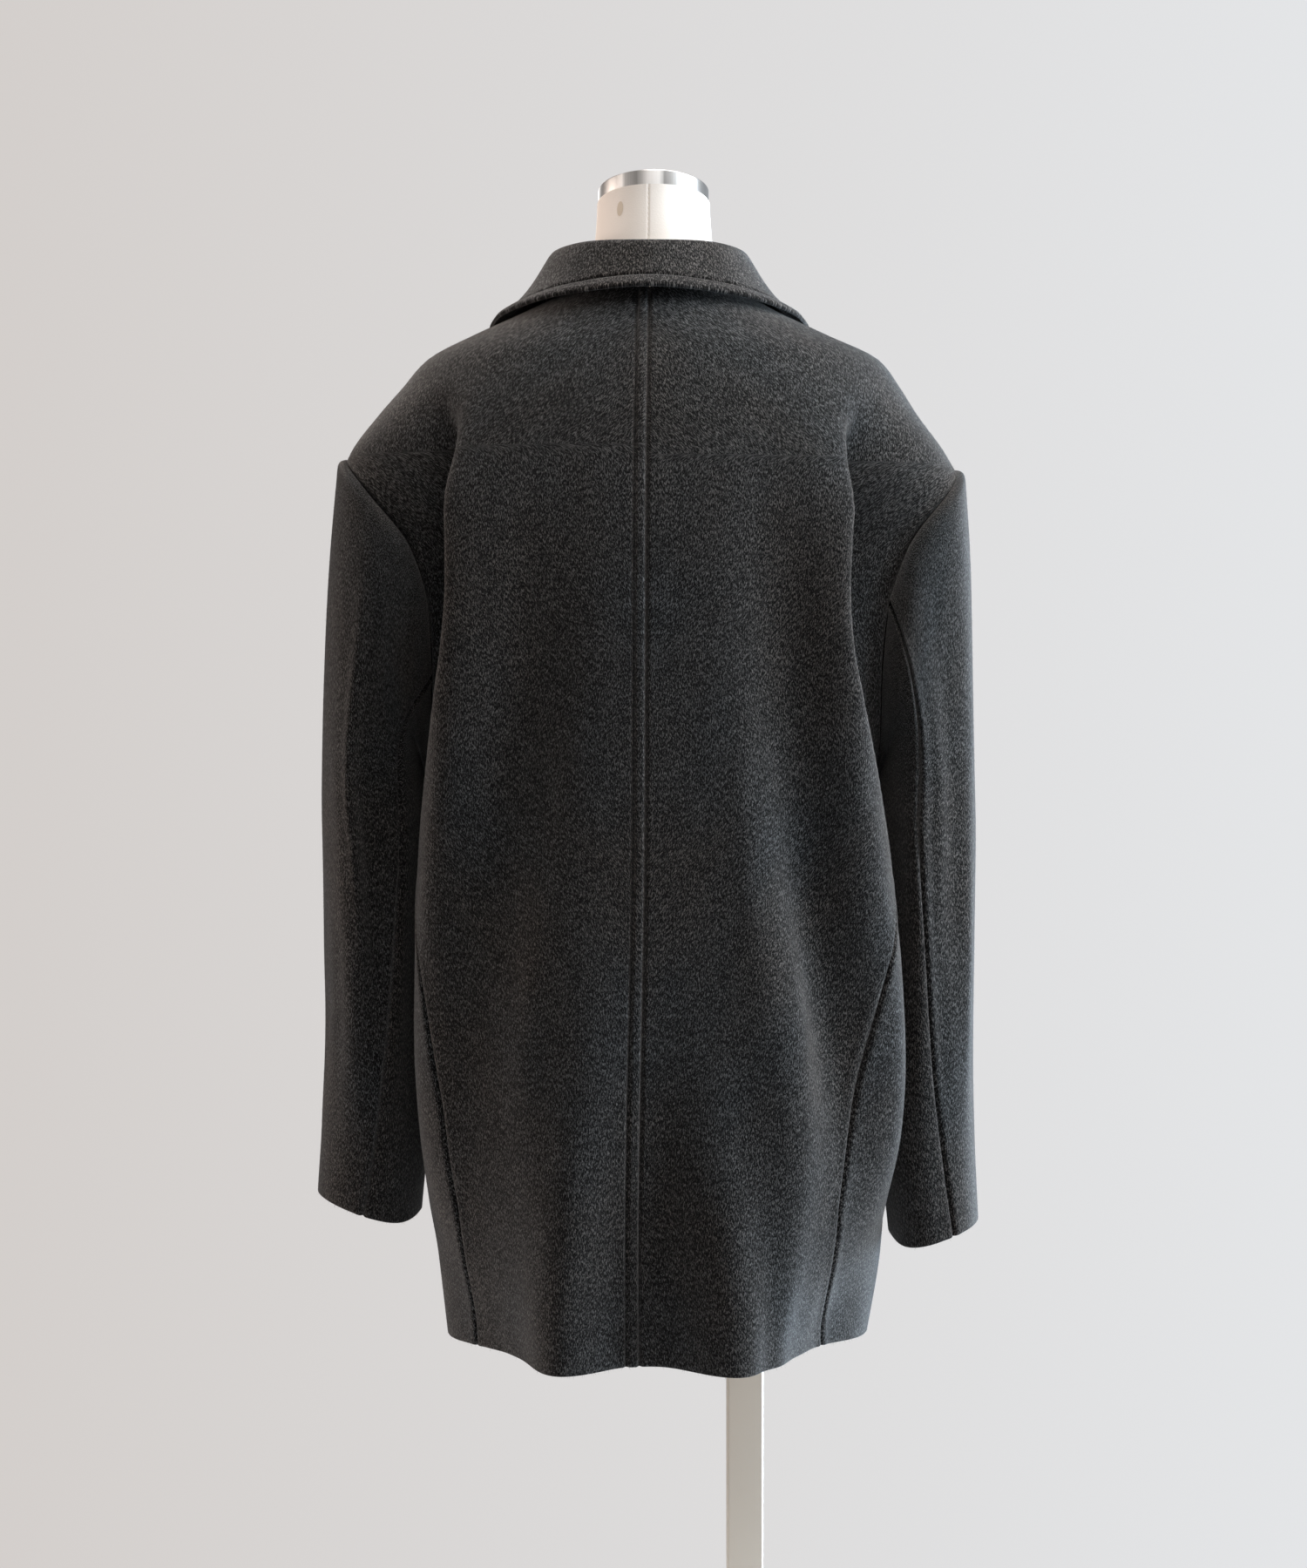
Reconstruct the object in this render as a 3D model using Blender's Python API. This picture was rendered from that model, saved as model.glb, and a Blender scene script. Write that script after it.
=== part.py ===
# A tailored wool coat on a limbless dress form with a metal stand.
# Metres, +Z up, floor at zero. The coat's back faces -Y, and +X is the wearer's right side.
# Every body panel is a stretch of one round surface, cut apart at its seams.
import math

import bpy
import numpy as np

# Cloth walls and the space kept between pieces
CLOTH = 0.003
COLLAR_CLOTH = 0.004
LAPEL_CLOTH = 0.004
SEAM_GAP = 0.0003
SEAM_TURN = SEAM_GAP / 2 / 0.12  # half a seam gap, as an angle round the body
SLEEVE_SEAM_TURN = SEAM_GAP / 2 / 0.05
LYING_GAP = 0.0012

# Heights of the coat
HEM = 0.5275
NECK = 1.380
BREAK = 1.030  # where the lapels start to turn back
UNDERARM = 0.985
SLEEVE_HEAD = {-1: 1.246, 1: 1.2375}
HEM_DIP = 0.10  # how far a hem flute dips for each metre it stands out
HEM_DIP_FROM = 0.75

# Centre back seam, as angles round the body
CENTRE_TURN_TOP = -2.2
CENTRE_TURN_HEM = -4.2
CENTRE_TURN_FROM = 1.0  # height below which it drifts

# Fronts
LAP = 0.030
LAP_RISE = 0.0042
LAP_TURNS = (148, 164)
ROLL_SLOPE = 0.297  # sideways run of the lapel's roll line for each metre of height
BUTTON_HEIGHTS = (1.005, 0.880, 0.755)
BUTTON_RADIUS = 0.0135
BUTTON_THICK = 0.0045
BUTTON_BEVEL = 0.0012
BUTTON_SIDES = 24

# Armhole loop: 0 degrees at the sleeve head, 180 at the underarm, behind from 0 to 180
ARMHOLE_SPREAD = 21.5
HEAD_SPREAD = 0.32  # the armhole is fuller towards the sleeve head
ARMHOLE_REACH = 0.08  # half the armhole's width along the body
ARMHOLE_JOINT = 140  # where the side panel's seams meet it
SIDE_SEAM_SPREAD = ARMHOLE_SPREAD * math.sin(math.radians(ARMHOLE_JOINT))
ARMHOLE_STEPS = 10
SIDE_STEPS = 6

# Sleeves
CAP_HEIGHT = 0.950  # the first level ring below the sleeve head
CAP_ROWS = 8
SLEEVE_ROWS = 7
CAP_DOWN = 0.30
CAP_START = {"out": (0.036, 0.008), "back": 0.105, "up": (-0.042, 0.027)}
HEAD_ROLL = 0.0045  # how far the sleeve head swells beside its seam
HEAD_ROLL_AT = 0.06
UNDER_FROM = {-1: 112, 1: 84}  # the back seam's place on the armhole loop
UNDER_TO = 234
CUFF_TILT = 0.33
CUFF_LIFT = 0.012  # the cuff is round, not pointed, where it nears the body
CUFF_LIFT_WIDTH = 26
CUFF_TILT_FROM = 0.80

# Grid sizes of the body panels
LOWER_ROWS = 14
SHOULDER_ROWS = 9
BACK_COLUMNS = 18
TUCK_COLUMNS = (8, 15)  # the columns between these lie in the tuck behind the arm
TUCK_SPAN = 9  # degrees to each side of the tuck's line
TUCK_LIMITS = (0.72, 0.93)  # and no nearer the panel's edge than these shares
FRONT_COLUMNS = 10
FRONT_CROWDING = 1.35  # more columns towards the armhole
CAP_CROWDING = 1.3  # more rows towards the armhole
LAPEL_ROWS = 10
LAPEL_COLUMNS = 5
COLLAR_STATIONS = 26
STAND_STEPS = 4
FALL_STEPS = 6
STAND_CROWDING = 0.7
FALL_CROWDING = 1.4
ROLL_REACH = 0.016
FALL_FLARE = (1.8, 1.8, 0.6)  # the fall spreads as it nears its edge
COLLAR_SHIFT = -0.004  # the collar sits a little to the left

# Dress form and stand
FORM_SIDES = 32
NECK_TILT = 0.197  # rise of the neck's top for each metre towards the back
NECK_TOP = 1.457
NECK_TILT_FROM = 1.41
CAP_THICK = 0.0125
CAP_RADIUS = 0.0457
CAP_BEVEL = 0.0025
POLE_SIZE = (0.030, 0.030)
POLE_PLACE = (0.0757, 0.015)
FLANGE_SIZE = (0.110, 0.090, 0.004)
BASE_SIZE = (0.400, 0.340, 0.010)
BASE_CORNER = 0.030
METAL_BEVEL = 0.0015

SIDES = {-1: "left", 1: "right"}
SHARP_ANGLE = math.radians(50)


def table(names, rows):
    return {name: np.array(values, float) for name, values in zip(names, zip(*rows))}


# Level sections of the coat's body, hem to neck, one row for each height.
# Between underarm and sleeve head the sideways reach is that of the sleeve's root.
BODY = table(
    ("height", "left", "right", "back", "front", "square", "back_square"),
    (
        (0.500, 0.171, 0.170, 0.149, 0.149, 2.00, 2.0),
        (0.5275, 0.174, 0.174, 0.150, 0.150, 2.00, 2.0),
        (0.600, 0.184, 0.191, 0.154, 0.153, 2.30, 2.4),
        (0.642, 0.192, 0.200, 0.156, 0.154, 2.50, 2.7),
        (0.700, 0.198, 0.206, 0.158, 0.155, 2.75, 3.1),
        (0.760, 0.200, 0.207, 0.158, 0.155, 2.90, 3.5),
        (0.836, 0.198, 0.206, 0.156, 0.154, 2.90, 4.0),
        (0.910, 0.195, 0.199, 0.153, 0.151, 2.90, 4.4),
        (0.980, 0.192, 0.192, 0.151, 0.148, 2.85, 4.8),
        (1.060, 0.197, 0.196, 0.148, 0.146, 2.65, 4.6),
        (1.120, 0.212, 0.211, 0.145, 0.143, 2.50, 4.0),
        (1.170, 0.238, 0.237, 0.142, 0.139, 2.35, 3.3),
        (1.212, 0.261, 0.257, 0.137, 0.133, 2.20, 2.8),
        (1.246, 0.2515, 0.2425, 0.131, 0.126, 2.10, 2.6),
        (1.283, 0.2265, 0.2175, 0.123, 0.116, 2.10, 2.4),
        (1.306, 0.2075, 0.2030, 0.116, 0.108, 2.10, 2.3),
        (1.327, 0.189, 0.187, 0.108, 0.098, 2.10, 2.2),
        (1.347, 0.151, 0.146, 0.098, 0.084, 2.10, 2.1),
        (1.365, 0.111, 0.107, 0.088, 0.066, 2.10, 2.1),
        (1.380, 0.080, 0.080, 0.079, 0.048, 2.10, 2.1),
        (1.395, 0.050, 0.050, 0.068, 0.030, 2.10, 2.1),
    ),
)

# Folds of the body: where each starts and ends, the angle it follows from the centre back,
# its half widths towards the back and towards the front, and how far it stands out.
FOLDS = table(
    ("high", "low", "turn_high", "turn_mid", "turn_low", "back_width", "front_width",
     "rise_high", "rise_mid", "rise_low"),
    (
        # tucks behind the arms
        (1.300, 0.880, -60, -57.5, -69, 2.2, 8.5, 0.0, -0.044, 0.0),
        (1.290, 0.880, 59, 55, 69, 2.2, 8.5, 0.0, -0.044, 0.0),
        (1.305, 1.050, -60, -58.4, -56.4, 2.2, 9.0, 0.0, -0.036, 0.0),
        (1.295, 1.050, 59, 56.6, 54, 2.2, 9.0, 0.0, -0.036, 0.0),
        (1.345, 1.200, -80, -65, -56, 4.5, 8.0, 0.0, -0.009, 0.0),
        (1.325, 1.190, 72, 63, 54, 4.5, 8.0, 0.0, -0.009, 0.0),
        # crests beside the tucks
        (1.270, 0.760, -54, -51, -60, 4.0, 3.0, 0.0, 0.006, 0.0),
        (1.265, 0.760, 52, 49, 60, 4.0, 3.0, 0.0, 0.008, 0.0),
        # long troughs down the back
        (1.310, 0.5275, -34, -43, -50, 9.5, 6.0, 0.0, -0.021, -0.007),
        (1.310, 0.580, 36, 43, 52, 8.0, 6.0, 0.0, -0.023, -0.004),
        (1.020, 0.620, 44, 47, 53, 7.0, 6.0, 0.0, -0.014, 0.0),
        # flutes at the back hem
        (0.920, 0.5275, -17, -19, -24, 7.5, 8.5, 0.0, 0.012, 0.030),
        (0.860, 0.5275, 13, 16, 21, 8.5, 8.0, 0.0, 0.010, 0.031),
        (0.950, 0.5275, 37, 36, 35, 6.0, 5.0, 0.0, 0.008, 0.008),
        (0.860, 0.5275, 3, 4, 3, 8.0, 8.0, 0.0, -0.003, -0.006),
        (0.800, 0.5275, -66, -65, -63, 9.0, 10.0, 0.0, -0.004, -0.012),
        (0.800, 0.5275, 66, 65, 64, 9.0, 10.0, 0.0, -0.005, -0.016),
        # sides pressed in beside the sleeves
        (1.160, 0.5275, -90, -90, -90, 13.0, 20.0, 0.0, -0.018, -0.004),
        (1.100, 0.5275, 90, 90, 90, 13.0, 16.0, 0.0, -0.034, 0.0),
        (0.900, 0.560, 64, 65, 67, 5.0, 8.0, 0.0, 0.009, 0.0),
        (0.720, 0.5275, 113, 113, 113, 13.0, 13.0, 0.0, 0.010, 0.012),
        # tucks and flutes of the front
        (1.300, 0.960, -117, -114, -110, 7.0, 5.5, 0.0, -0.018, 0.0),
        (1.300, 0.960, 118, 114, 110, 7.0, 5.5, 0.0, -0.018, 0.0),
        (0.940, 0.5275, -138, -140, -143, 9.0, 10.0, 0.0, 0.007, 0.022),
        (0.900, 0.5275, 140, 143, 147, 9.0, 9.0, 0.0, 0.006, 0.020),
        (0.860, 0.5275, -120, -119, -118, 8.0, 8.0, 0.0, -0.004, -0.010),
        (0.880, 0.5275, 121, 120, 119, 8.0, 8.0, 0.0, -0.004, -0.011),
    ),
)

TUCK_ROW = {-1: 0, 1: 1}

# Seams between the side panels and the back and front, as angles from the centre back
SIDE_SEAMS = table(
    ("height", "back_left", "back_right", "front"),
    (
        (0.500, 67.5, 67.0, 117.0),
        (0.600, 60.0, 54.0, 115.0),
        (0.650, 56.5, 51.3, 113.5),
        (0.714, 56.0, 53.2, 112.0),
        (0.780, 57.5, 55.8, 110.0),
        (0.836, 60.0, 58.5, 108.0),
        (0.900, 67.0, 66.0, 106.0),
        (0.965, 90 - SIDE_SEAM_SPREAD, 90 - SIDE_SEAM_SPREAD, 90 + SIDE_SEAM_SPREAD),
        (1.100, 90 - SIDE_SEAM_SPREAD, 90 - SIDE_SEAM_SPREAD, 90 + SIDE_SEAM_SPREAD),
    ),
)

# Level rings of the sleeves below the cap: middle from the centre line, middle forward of it,
# half width, half depth, and the angle of the back seam from straight out.
SLEEVES = {
    -1: table(
        ("height", "middle", "forward", "wide", "deep", "seam"),
        (
            (0.628, 0.2360, 0.018, 0.0430, 0.057, 89),
            (0.690, 0.2318, 0.015, 0.0437, 0.061, 98),
            (0.760, 0.2310, 0.011, 0.0430, 0.068, 109),
            (0.860, 0.2302, 0.006, 0.0438, 0.076, 119),
            (0.950, 0.2288, 0.002, 0.0447, 0.083, 125),
            (1.000, 0.2288, 0.000, 0.0447, 0.086, 126),
        ),
    ),
    1: table(
        ("height", "middle", "forward", "wide", "deep", "seam"),
        (
            (0.607, 0.2330, 0.020, 0.0370, 0.059, 70),
            (0.680, 0.2275, 0.016, 0.0390, 0.061, 78),
            (0.760, 0.2240, 0.011, 0.0405, 0.068, 88),
            (0.860, 0.2235, 0.006, 0.0405, 0.076, 97),
            (0.950, 0.2225, 0.002, 0.0415, 0.083, 105),
            (1.000, 0.2220, 0.000, 0.0425, 0.086, 110),
        ),
    ),
}

# Folds of the sleeves: stretch along the sleeve (0 armhole, 1 first level ring, 2 cuff),
# angle from straight out towards the back, half width, and how far the fold stands out.
SLEEVE_FOLDS = {
    -1: table(
        ("start", "end", "turn_start", "turn_end", "width", "rise"),
        (
            (0.15, 1.75, 48, 84, 12, 0.006),
            (0.20, 1.80, 92, 108, 14, -0.007),
            (0.60, 2.00, 142, 108, 10, 0.006),
            (0.90, 1.95, 20, 35, 16, -0.004),
            (0.20, 1.60, -60, -85, 16, -0.006),
        ),
    ),
    1: table(
        ("start", "end", "turn_start", "turn_end", "width", "rise"),
        (
            (0.10, 1.70, 62, 66, 14, -0.007),
            (0.25, 1.85, 30, 42, 14, 0.004),
            (0.60, 2.00, 122, 88, 10, 0.006),
            (0.20, 1.60, -58, -88, 16, -0.006),
        ),
    ),
}

# Collar from centre back (0) to its front end (1): seam on the neck, roll line, free edge
COLLAR = table(
    ("station", "seam_x", "seam_y", "seam_z", "roll_x", "roll_y", "roll_z",
     "edge_x", "edge_y", "edge_z"),
    (
        (0.00, 0.000, -0.0755, 1.3845, 0.000, -0.0690, 1.4150, 0.000, -0.0980, 1.3755),
        (0.26, 0.048, -0.0560, 1.3845, 0.049, -0.0530, 1.4165, 0.072, -0.0790, 1.3710),
        (0.50, 0.075, -0.0060, 1.3845, 0.0775, -0.0080, 1.4150, 0.1255, -0.0200, 1.3615),
        (0.72, 0.066, 0.0300, 1.3760, 0.0750, 0.0340, 1.3960, 0.134, 0.0300, 1.3560),
        (0.86, 0.058, 0.0600, 1.3510, 0.0670, 0.0700, 1.3660, 0.131, 0.0680, 1.3430),
        (1.00, 0.050, 0.0900, 1.3170, 0.0560, 0.1020, 1.3230, 0.122, 0.0900, 1.3290),
    ),
)

# Lapels: height, and how far the free edge is from the centre line, break point to notch
LAPEL = table(
    ("height", "reach"),
    (
        (1.040, -0.018),
        (1.100, 0.030),
        (1.170, 0.078),
        (1.240, 0.122),
        (1.285, 0.148),
        (1.305, 0.158),
    ),
)
LAPEL_LEAST = 0.006
LAPEL_OPENS = (-0.01, 0.09)  # it widens between these heights over its lower end
LAPEL_FROM = {-1: 1.136, 1: 1.044}
LAPEL_TOP = {"roll": 1.309, "edge": 1.299}

# Level sections of the dress form
FORM = table(
    ("height", "wide", "back", "front"),
    (
        (0.750, 0.146, 0.100, 0.092),
        (0.760, 0.149, 0.103, 0.094),
        (0.820, 0.157, 0.112, 0.100),
        (0.880, 0.150, 0.104, 0.099),
        (0.940, 0.131, 0.088, 0.096),
        (1.000, 0.118, 0.078, 0.094),
        (1.080, 0.128, 0.082, 0.104),
        (1.160, 0.146, 0.092, 0.116),
        (1.230, 0.160, 0.097, 0.108),
        (1.280, 0.175, 0.093, 0.094),
        (1.302, 0.179, 0.088, 0.084),
        (1.318, 0.175, 0.082, 0.074),
        (1.334, 0.150, 0.075, 0.064),
        (1.350, 0.116, 0.069, 0.057),
        (1.365, 0.084, 0.064, 0.054),
        (1.380, 0.063, 0.060, 0.052),
        (1.400, 0.053, 0.055, 0.050),
        (1.425, 0.0485, 0.050, 0.048),
        (1.457, 0.0465, 0.0470, 0.0465),
        (1.470, 0.0465, 0.0470, 0.0465),
    ),
)
FORM_SQUARE = 2.15
FORM_LEVELS = (
    0.760, 0.775, 0.80, 0.83, 0.87, 0.91, 0.955, 1.00, 1.05, 1.105, 1.16, 1.20, 1.24, 1.272,
    1.294, 1.308, 1.318, 1.328, 1.340, 1.352, 1.365, 1.380, 1.400, 1.425, 1.457,
)


def smooth_curve(knots, values, at):
    """A curve through the values that never swings past them."""
    step = np.diff(knots)
    slope = np.diff(values) / step
    before, after = slope[:-1], slope[1:]
    along = before * after > 0
    wide_after = 2 * step[1:] + step[:-1]
    wide_before = step[1:] + 2 * step[:-1]
    safe_before = np.where(along, before, 1.0)
    safe_after = np.where(along, after, 1.0)
    middle = (wide_after + wide_before) / (wide_after / safe_before + wide_before / safe_after)
    lean = np.concatenate([slope[:1], np.where(along, middle, 0.0), slope[-1:]])
    at = np.asarray(at, float)
    spot = np.clip(np.searchsorted(knots, at) - 1, 0, len(step) - 1)
    t = (at - knots[spot]) / step[spot]
    return (
        (2 * t**3 - 3 * t**2 + 1) * values[spot]
        + (t**3 - 2 * t**2 + t) * step[spot] * lean[spot]
        + (3 * t**2 - 2 * t**3) * values[spot + 1]
        + (t**3 - t**2) * step[spot] * lean[spot + 1]
    )


def read(source, column, at):
    first = next(iter(source))
    return smooth_curve(source[first], source[column], at)


def ease(low, high, at):
    """0 below low and 1 above high, smooth between."""
    t = np.clip((at - low) / (high - low), 0, 1)
    return t * t * (3 - 2 * t)


def bend(first, middle, last, t):
    """The parabola through three values at 0, a half and 1."""
    return (
        first * (2 * t - 1) * (t - 1) + middle * 4 * t * (1 - t) + last * t * (2 * t - 1)
    )


def fold_row(number):
    return {column: values[number] for column, values in FOLDS.items()}


def fold_line(fold, height):
    """The angle of a fold in degrees, and how far it stands out, at each height."""
    down = 1 - ease(fold["low"], fold["high"], height)
    line = bend(fold["turn_high"], fold["turn_mid"], fold["turn_low"], down)
    return line, bend(fold["rise_high"], fold["rise_mid"], fold["rise_low"], down)


def body_folds(turn, height):
    rise = np.zeros(np.broadcast(turn, height).shape)
    degrees = np.degrees(turn)
    for number in range(len(FOLDS["high"])):
        fold = fold_row(number)
        line, amount = fold_line(fold, height)
        away = (degrees - line) * np.sign(fold["turn_mid"])
        width = np.where(away < 0, fold["back_width"], fold["front_width"])
        rise = rise + amount * np.exp(-0.5 * (away / width) ** 2)
    return rise


def body(turn, height, lap=0.0):
    """A point of the coat's body: turn is the angle from the centre back, positive to +X."""
    turn, height = np.broadcast_arrays(np.asarray(turn, float), np.asarray(height, float))
    half = np.where(turn < 0, read(BODY, "left", height), read(BODY, "right", height))
    behind = np.cos(turn) > 0
    depth = np.where(behind, read(BODY, "back", height), read(BODY, "front", height))
    square = np.where(behind, read(BODY, "back_square", height), read(BODY, "square", height))
    radius = (
        np.abs(np.sin(turn) / half) ** square + np.abs(np.cos(turn) / depth) ** square
    ) ** (-1 / square)
    folds = body_folds(turn, height)
    lapped = lap * ease(*LAP_TURNS, np.degrees(np.abs(turn)))
    radius = radius + folds + lapped
    dip = HEM_DIP * folds * (1 - ease(HEM, HEM_DIP_FROM, height))
    return np.stack(
        [radius * np.sin(turn), -radius * np.cos(turn), height - dip], axis=-1
    )


def outward(surface, u, v, small=1e-4):
    """Unit normals of a surface of two parameters."""
    across = surface(u + small, v) - surface(u - small, v)
    along = surface(u, v + small) - surface(u, v - small)
    normal = np.cross(across, along)
    return normal / np.linalg.norm(normal, axis=-1, keepdims=True)


def armhole(side, loop, inset=0.0):
    """Angle and height of the armhole seam, for angles round its loop."""
    half = (SLEEVE_HEAD[side] - UNDERARM) / 2 - inset
    middle = (SLEEVE_HEAD[side] + UNDERARM) / 2
    fuller = 1 + HEAD_SPREAD * np.clip(np.cos(loop), 0, None) ** 2
    spread = np.radians(ARMHOLE_SPREAD) * np.sin(loop) * fuller * (1 - inset / ARMHOLE_REACH)
    return side * (np.pi / 2 - spread), middle + half * np.cos(loop)


def armhole_loop():
    """Angles round the armhole at which body and sleeve both have a point."""
    back = np.linspace(0, ARMHOLE_JOINT, ARMHOLE_STEPS + 1)
    under = np.linspace(ARMHOLE_JOINT, 360 - ARMHOLE_JOINT, SIDE_STEPS + 1)
    return np.concatenate([back, under[1:-1], 360 - back[::-1]])


def body_levels(side):
    """Heights of a panel's rows: hem to side seam's end, up the armhole, over the shoulder."""
    loop = np.radians(np.linspace(ARMHOLE_JOINT, 0, ARMHOLE_STEPS + 1))
    beside = armhole(side, loop)[1]
    lower = np.linspace(HEM, beside[0], LOWER_ROWS + 1)
    upper = np.linspace(beside[-1], NECK, SHOULDER_ROWS + 1)
    return lower, beside, upper


def panel_edge(side, column):
    """Angle of a back or front panel's outer edge at each of the panel's heights."""
    lower, beside, upper = body_levels(side)
    loop = np.radians(np.linspace(ARMHOLE_JOINT, 0, ARMHOLE_STEPS + 1))
    if column == "front":
        loop = -loop
    seam = side_seam(side, column, lower)
    hole = armhole(side, loop)[0]
    ridge = np.full(SHOULDER_ROWS, side * np.pi / 2)
    return np.concatenate([lower[:-1], beside, upper[1:]]), np.concatenate(
        [seam[:-1], hole, ridge]
    )


def side_seam(side, column, height):
    """Angle of a side panel's back or front seam, signed to its side."""
    source = column if column == "front" else f"{column}_{SIDES[side]}"
    return side * np.radians(read(SIDE_SEAMS, source, height))


def turn_at(side, reach, height):
    """Angle at which a front panel is this far to its own side of the centre line."""
    near = np.full(np.shape(height), np.pi / 2)
    far = np.full(np.shape(height), np.pi * 1.2)
    for _ in range(40):
        middle = (near + far) / 2
        outside = side * body(side * middle, height)[..., 0] > reach
        near = np.where(outside, middle, near)
        far = np.where(outside, far, middle)
    return side * (near + far) / 2


def roll_reach(height):
    """How far a front's inner edge is from the centre line: the lap, then the roll line."""
    return -LAP + ROLL_SLOPE * np.clip(height - BREAK, 0, None)


def material(name, colour, roughness, metallic=0.0):
    made = bpy.data.materials.new(name)
    made.use_nodes = True
    shader = made.node_tree.nodes["Principled BSDF"]
    shader.inputs["Base Color"].default_value = (*colour, 1)
    shader.inputs["Roughness"].default_value = roughness
    shader.inputs["Metallic"].default_value = metallic
    return made


def solid(name, points, faces, finish):
    """A closed mesh object, turned the right way out."""
    mesh = bpy.data.meshes.new(name)
    mesh.from_pydata([tuple(point) for point in points], [], [tuple(f) for f in faces])
    mesh.calc_loop_triangles()
    corners = np.array([points[list(t.vertices)] for t in mesh.loop_triangles])
    if np.linalg.det(corners).sum() < 0:
        mesh.flip_normals()
    mesh.shade_smooth()
    mesh.set_sharp_from_angle(angle=SHARP_ANGLE)
    mesh.materials.append(finish)
    made = bpy.data.objects.new(name, mesh)
    bpy.context.scene.collection.objects.link(made)
    return made


def wall(name, outer, inner, finish):
    """A cloth wall between two grids of points."""
    rows, columns = outer.shape[:2]
    index = np.arange(rows * columns).reshape(rows, columns)
    under = index + rows * columns
    quads = np.stack(
        [index[:-1, :-1], index[:-1, 1:], index[1:, 1:], index[1:, :-1]], axis=-1
    ).reshape(-1, 4)
    rim = np.concatenate(
        [index[0], index[1:, -1], index[-1, -2::-1], index[-2:0:-1, 0]]
    )
    following = np.roll(rim, -1)
    rim_under, following_under = under.ravel()[rim], under.ravel()[following]
    points = np.concatenate([outer.reshape(-1, 3), inner.reshape(-1, 3)])
    # The rim's diagonals run from low outside to high inside, so rims that meet at a seam match
    rising = points[rim, 2] <= points[following, 2]
    sides = np.concatenate(
        [
            np.stack([following, rim, np.where(rising, following_under, rim_under)], axis=-1),
            np.stack([np.where(rising, rim, following), rim_under, following_under], axis=-1),
        ]
    )
    inside = under.ravel()[quads[:, ::-1]]
    faces = [*quads.tolist(), *inside.tolist(), *sides.tolist()]
    return solid(name, points, faces, finish)


def body_wall(name, turn, height, finish, lap=0.0):
    """A panel of the body from grids of angle and height, with its cloth on the inside."""
    def surface(u, v):
        return body(u, v, lap)

    outer = surface(turn, height)
    wall(name, outer, outer - CLOTH * outward(surface, turn, height), finish)


def make_back(side, finish):
    height, edge = panel_edge(side, "back")
    down = 1 - ease(HEM, CENTRE_TURN_FROM, height)
    centre = np.radians(CENTRE_TURN_TOP + (CENTRE_TURN_HEM - CENTRE_TURN_TOP) * down)
    tuck = fold_line(fold_row(TUCK_ROW[side]), height)[0]
    limits = np.abs(np.degrees(edge))[:, None] * TUCK_LIMITS
    stretch = np.abs(tuck)[:, None] + np.array([-TUCK_SPAN, TUCK_SPAN])
    near, far = side * np.radians(np.minimum(stretch, limits)).T
    marks = np.stack([centre + side * SEAM_TURN, near, far, edge - side * SEAM_TURN])
    column = np.arange(BACK_COLUMNS + 1)
    turn = np.array([np.interp(column, (0, *TUCK_COLUMNS, BACK_COLUMNS), row) for row in marks.T])
    body_wall(f"back_{SIDES[side]}", turn, height[:, None] + 0 * turn, finish)


def make_front(side, finish):
    height, edge = panel_edge(side, "front")
    inner = turn_at(side, roll_reach(height), height)
    across = np.linspace(0, 1, FRONT_COLUMNS + 1) ** FRONT_CROWDING
    first = (edge + side * SEAM_TURN)[:, None]
    turn = first + (inner[:, None] - first) * across
    lap = LAP_RISE if side > 0 else 0.0
    body_wall(f"front_{SIDES[side]}", turn, height[:, None] + 0 * turn, finish, lap)


def make_side(side, finish):
    loop = np.radians(np.linspace(ARMHOLE_JOINT, 360 - ARMHOLE_JOINT, SIDE_STEPS + 1))
    top_turn, top = armhole(side, loop)
    across = (top_turn - top_turn[0]) / (top_turn[-1] - top_turn[0])
    up = np.linspace(0, 1, LOWER_ROWS + 1)[:, None]
    height = HEM + up * (top - HEM)
    first = side_seam(side, "back", height) + side * SEAM_TURN
    last = side_seam(side, "front", height) - side * SEAM_TURN
    body_wall(f"side_{SIDES[side]}", first + (last - first) * across, height, finish)


def sleeve_ring(side, turn, height):
    """A point on a level ring of the sleeve, at an angle from straight out to the back."""
    rings = SLEEVES[side]
    wide = read(rings, "wide", height) * np.cos(turn)
    deep = read(rings, "deep", height) * np.sin(turn)
    low = 1 - ease(rings["height"][0], CUFF_TILT_FROM, height)
    inner = np.degrees(turn) % 360 - 180
    lifted = CUFF_LIFT * np.exp(-0.5 * (inner / CUFF_LIFT_WIDTH) ** 2)
    return np.stack(
        [
            side * (read(rings, "middle", height) + wide),
            read(rings, "forward", height) - deep,
            height + low * (CUFF_TILT * wide + lifted),
        ],
        axis=-1,
    )


def sleeve_folds(side, turn, along):
    degrees = np.degrees(turn)
    rise = np.zeros(np.broadcast(turn, along).shape)
    for row in zip(*SLEEVE_FOLDS[side].values()):
        fold = dict(zip(SLEEVE_FOLDS[side], row))
        t = np.clip((along - fold["start"]) / (fold["end"] - fold["start"]), 0, 1)
        line = fold["turn_start"] + (fold["turn_end"] - fold["turn_start"]) * t
        away = (degrees - line + 180) % 360 - 180
        rise = rise + fold["rise"] * np.sin(np.pi * t) ** 2 * np.exp(
            -0.5 * (away / fold["width"]) ** 2
        )
    return rise


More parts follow.
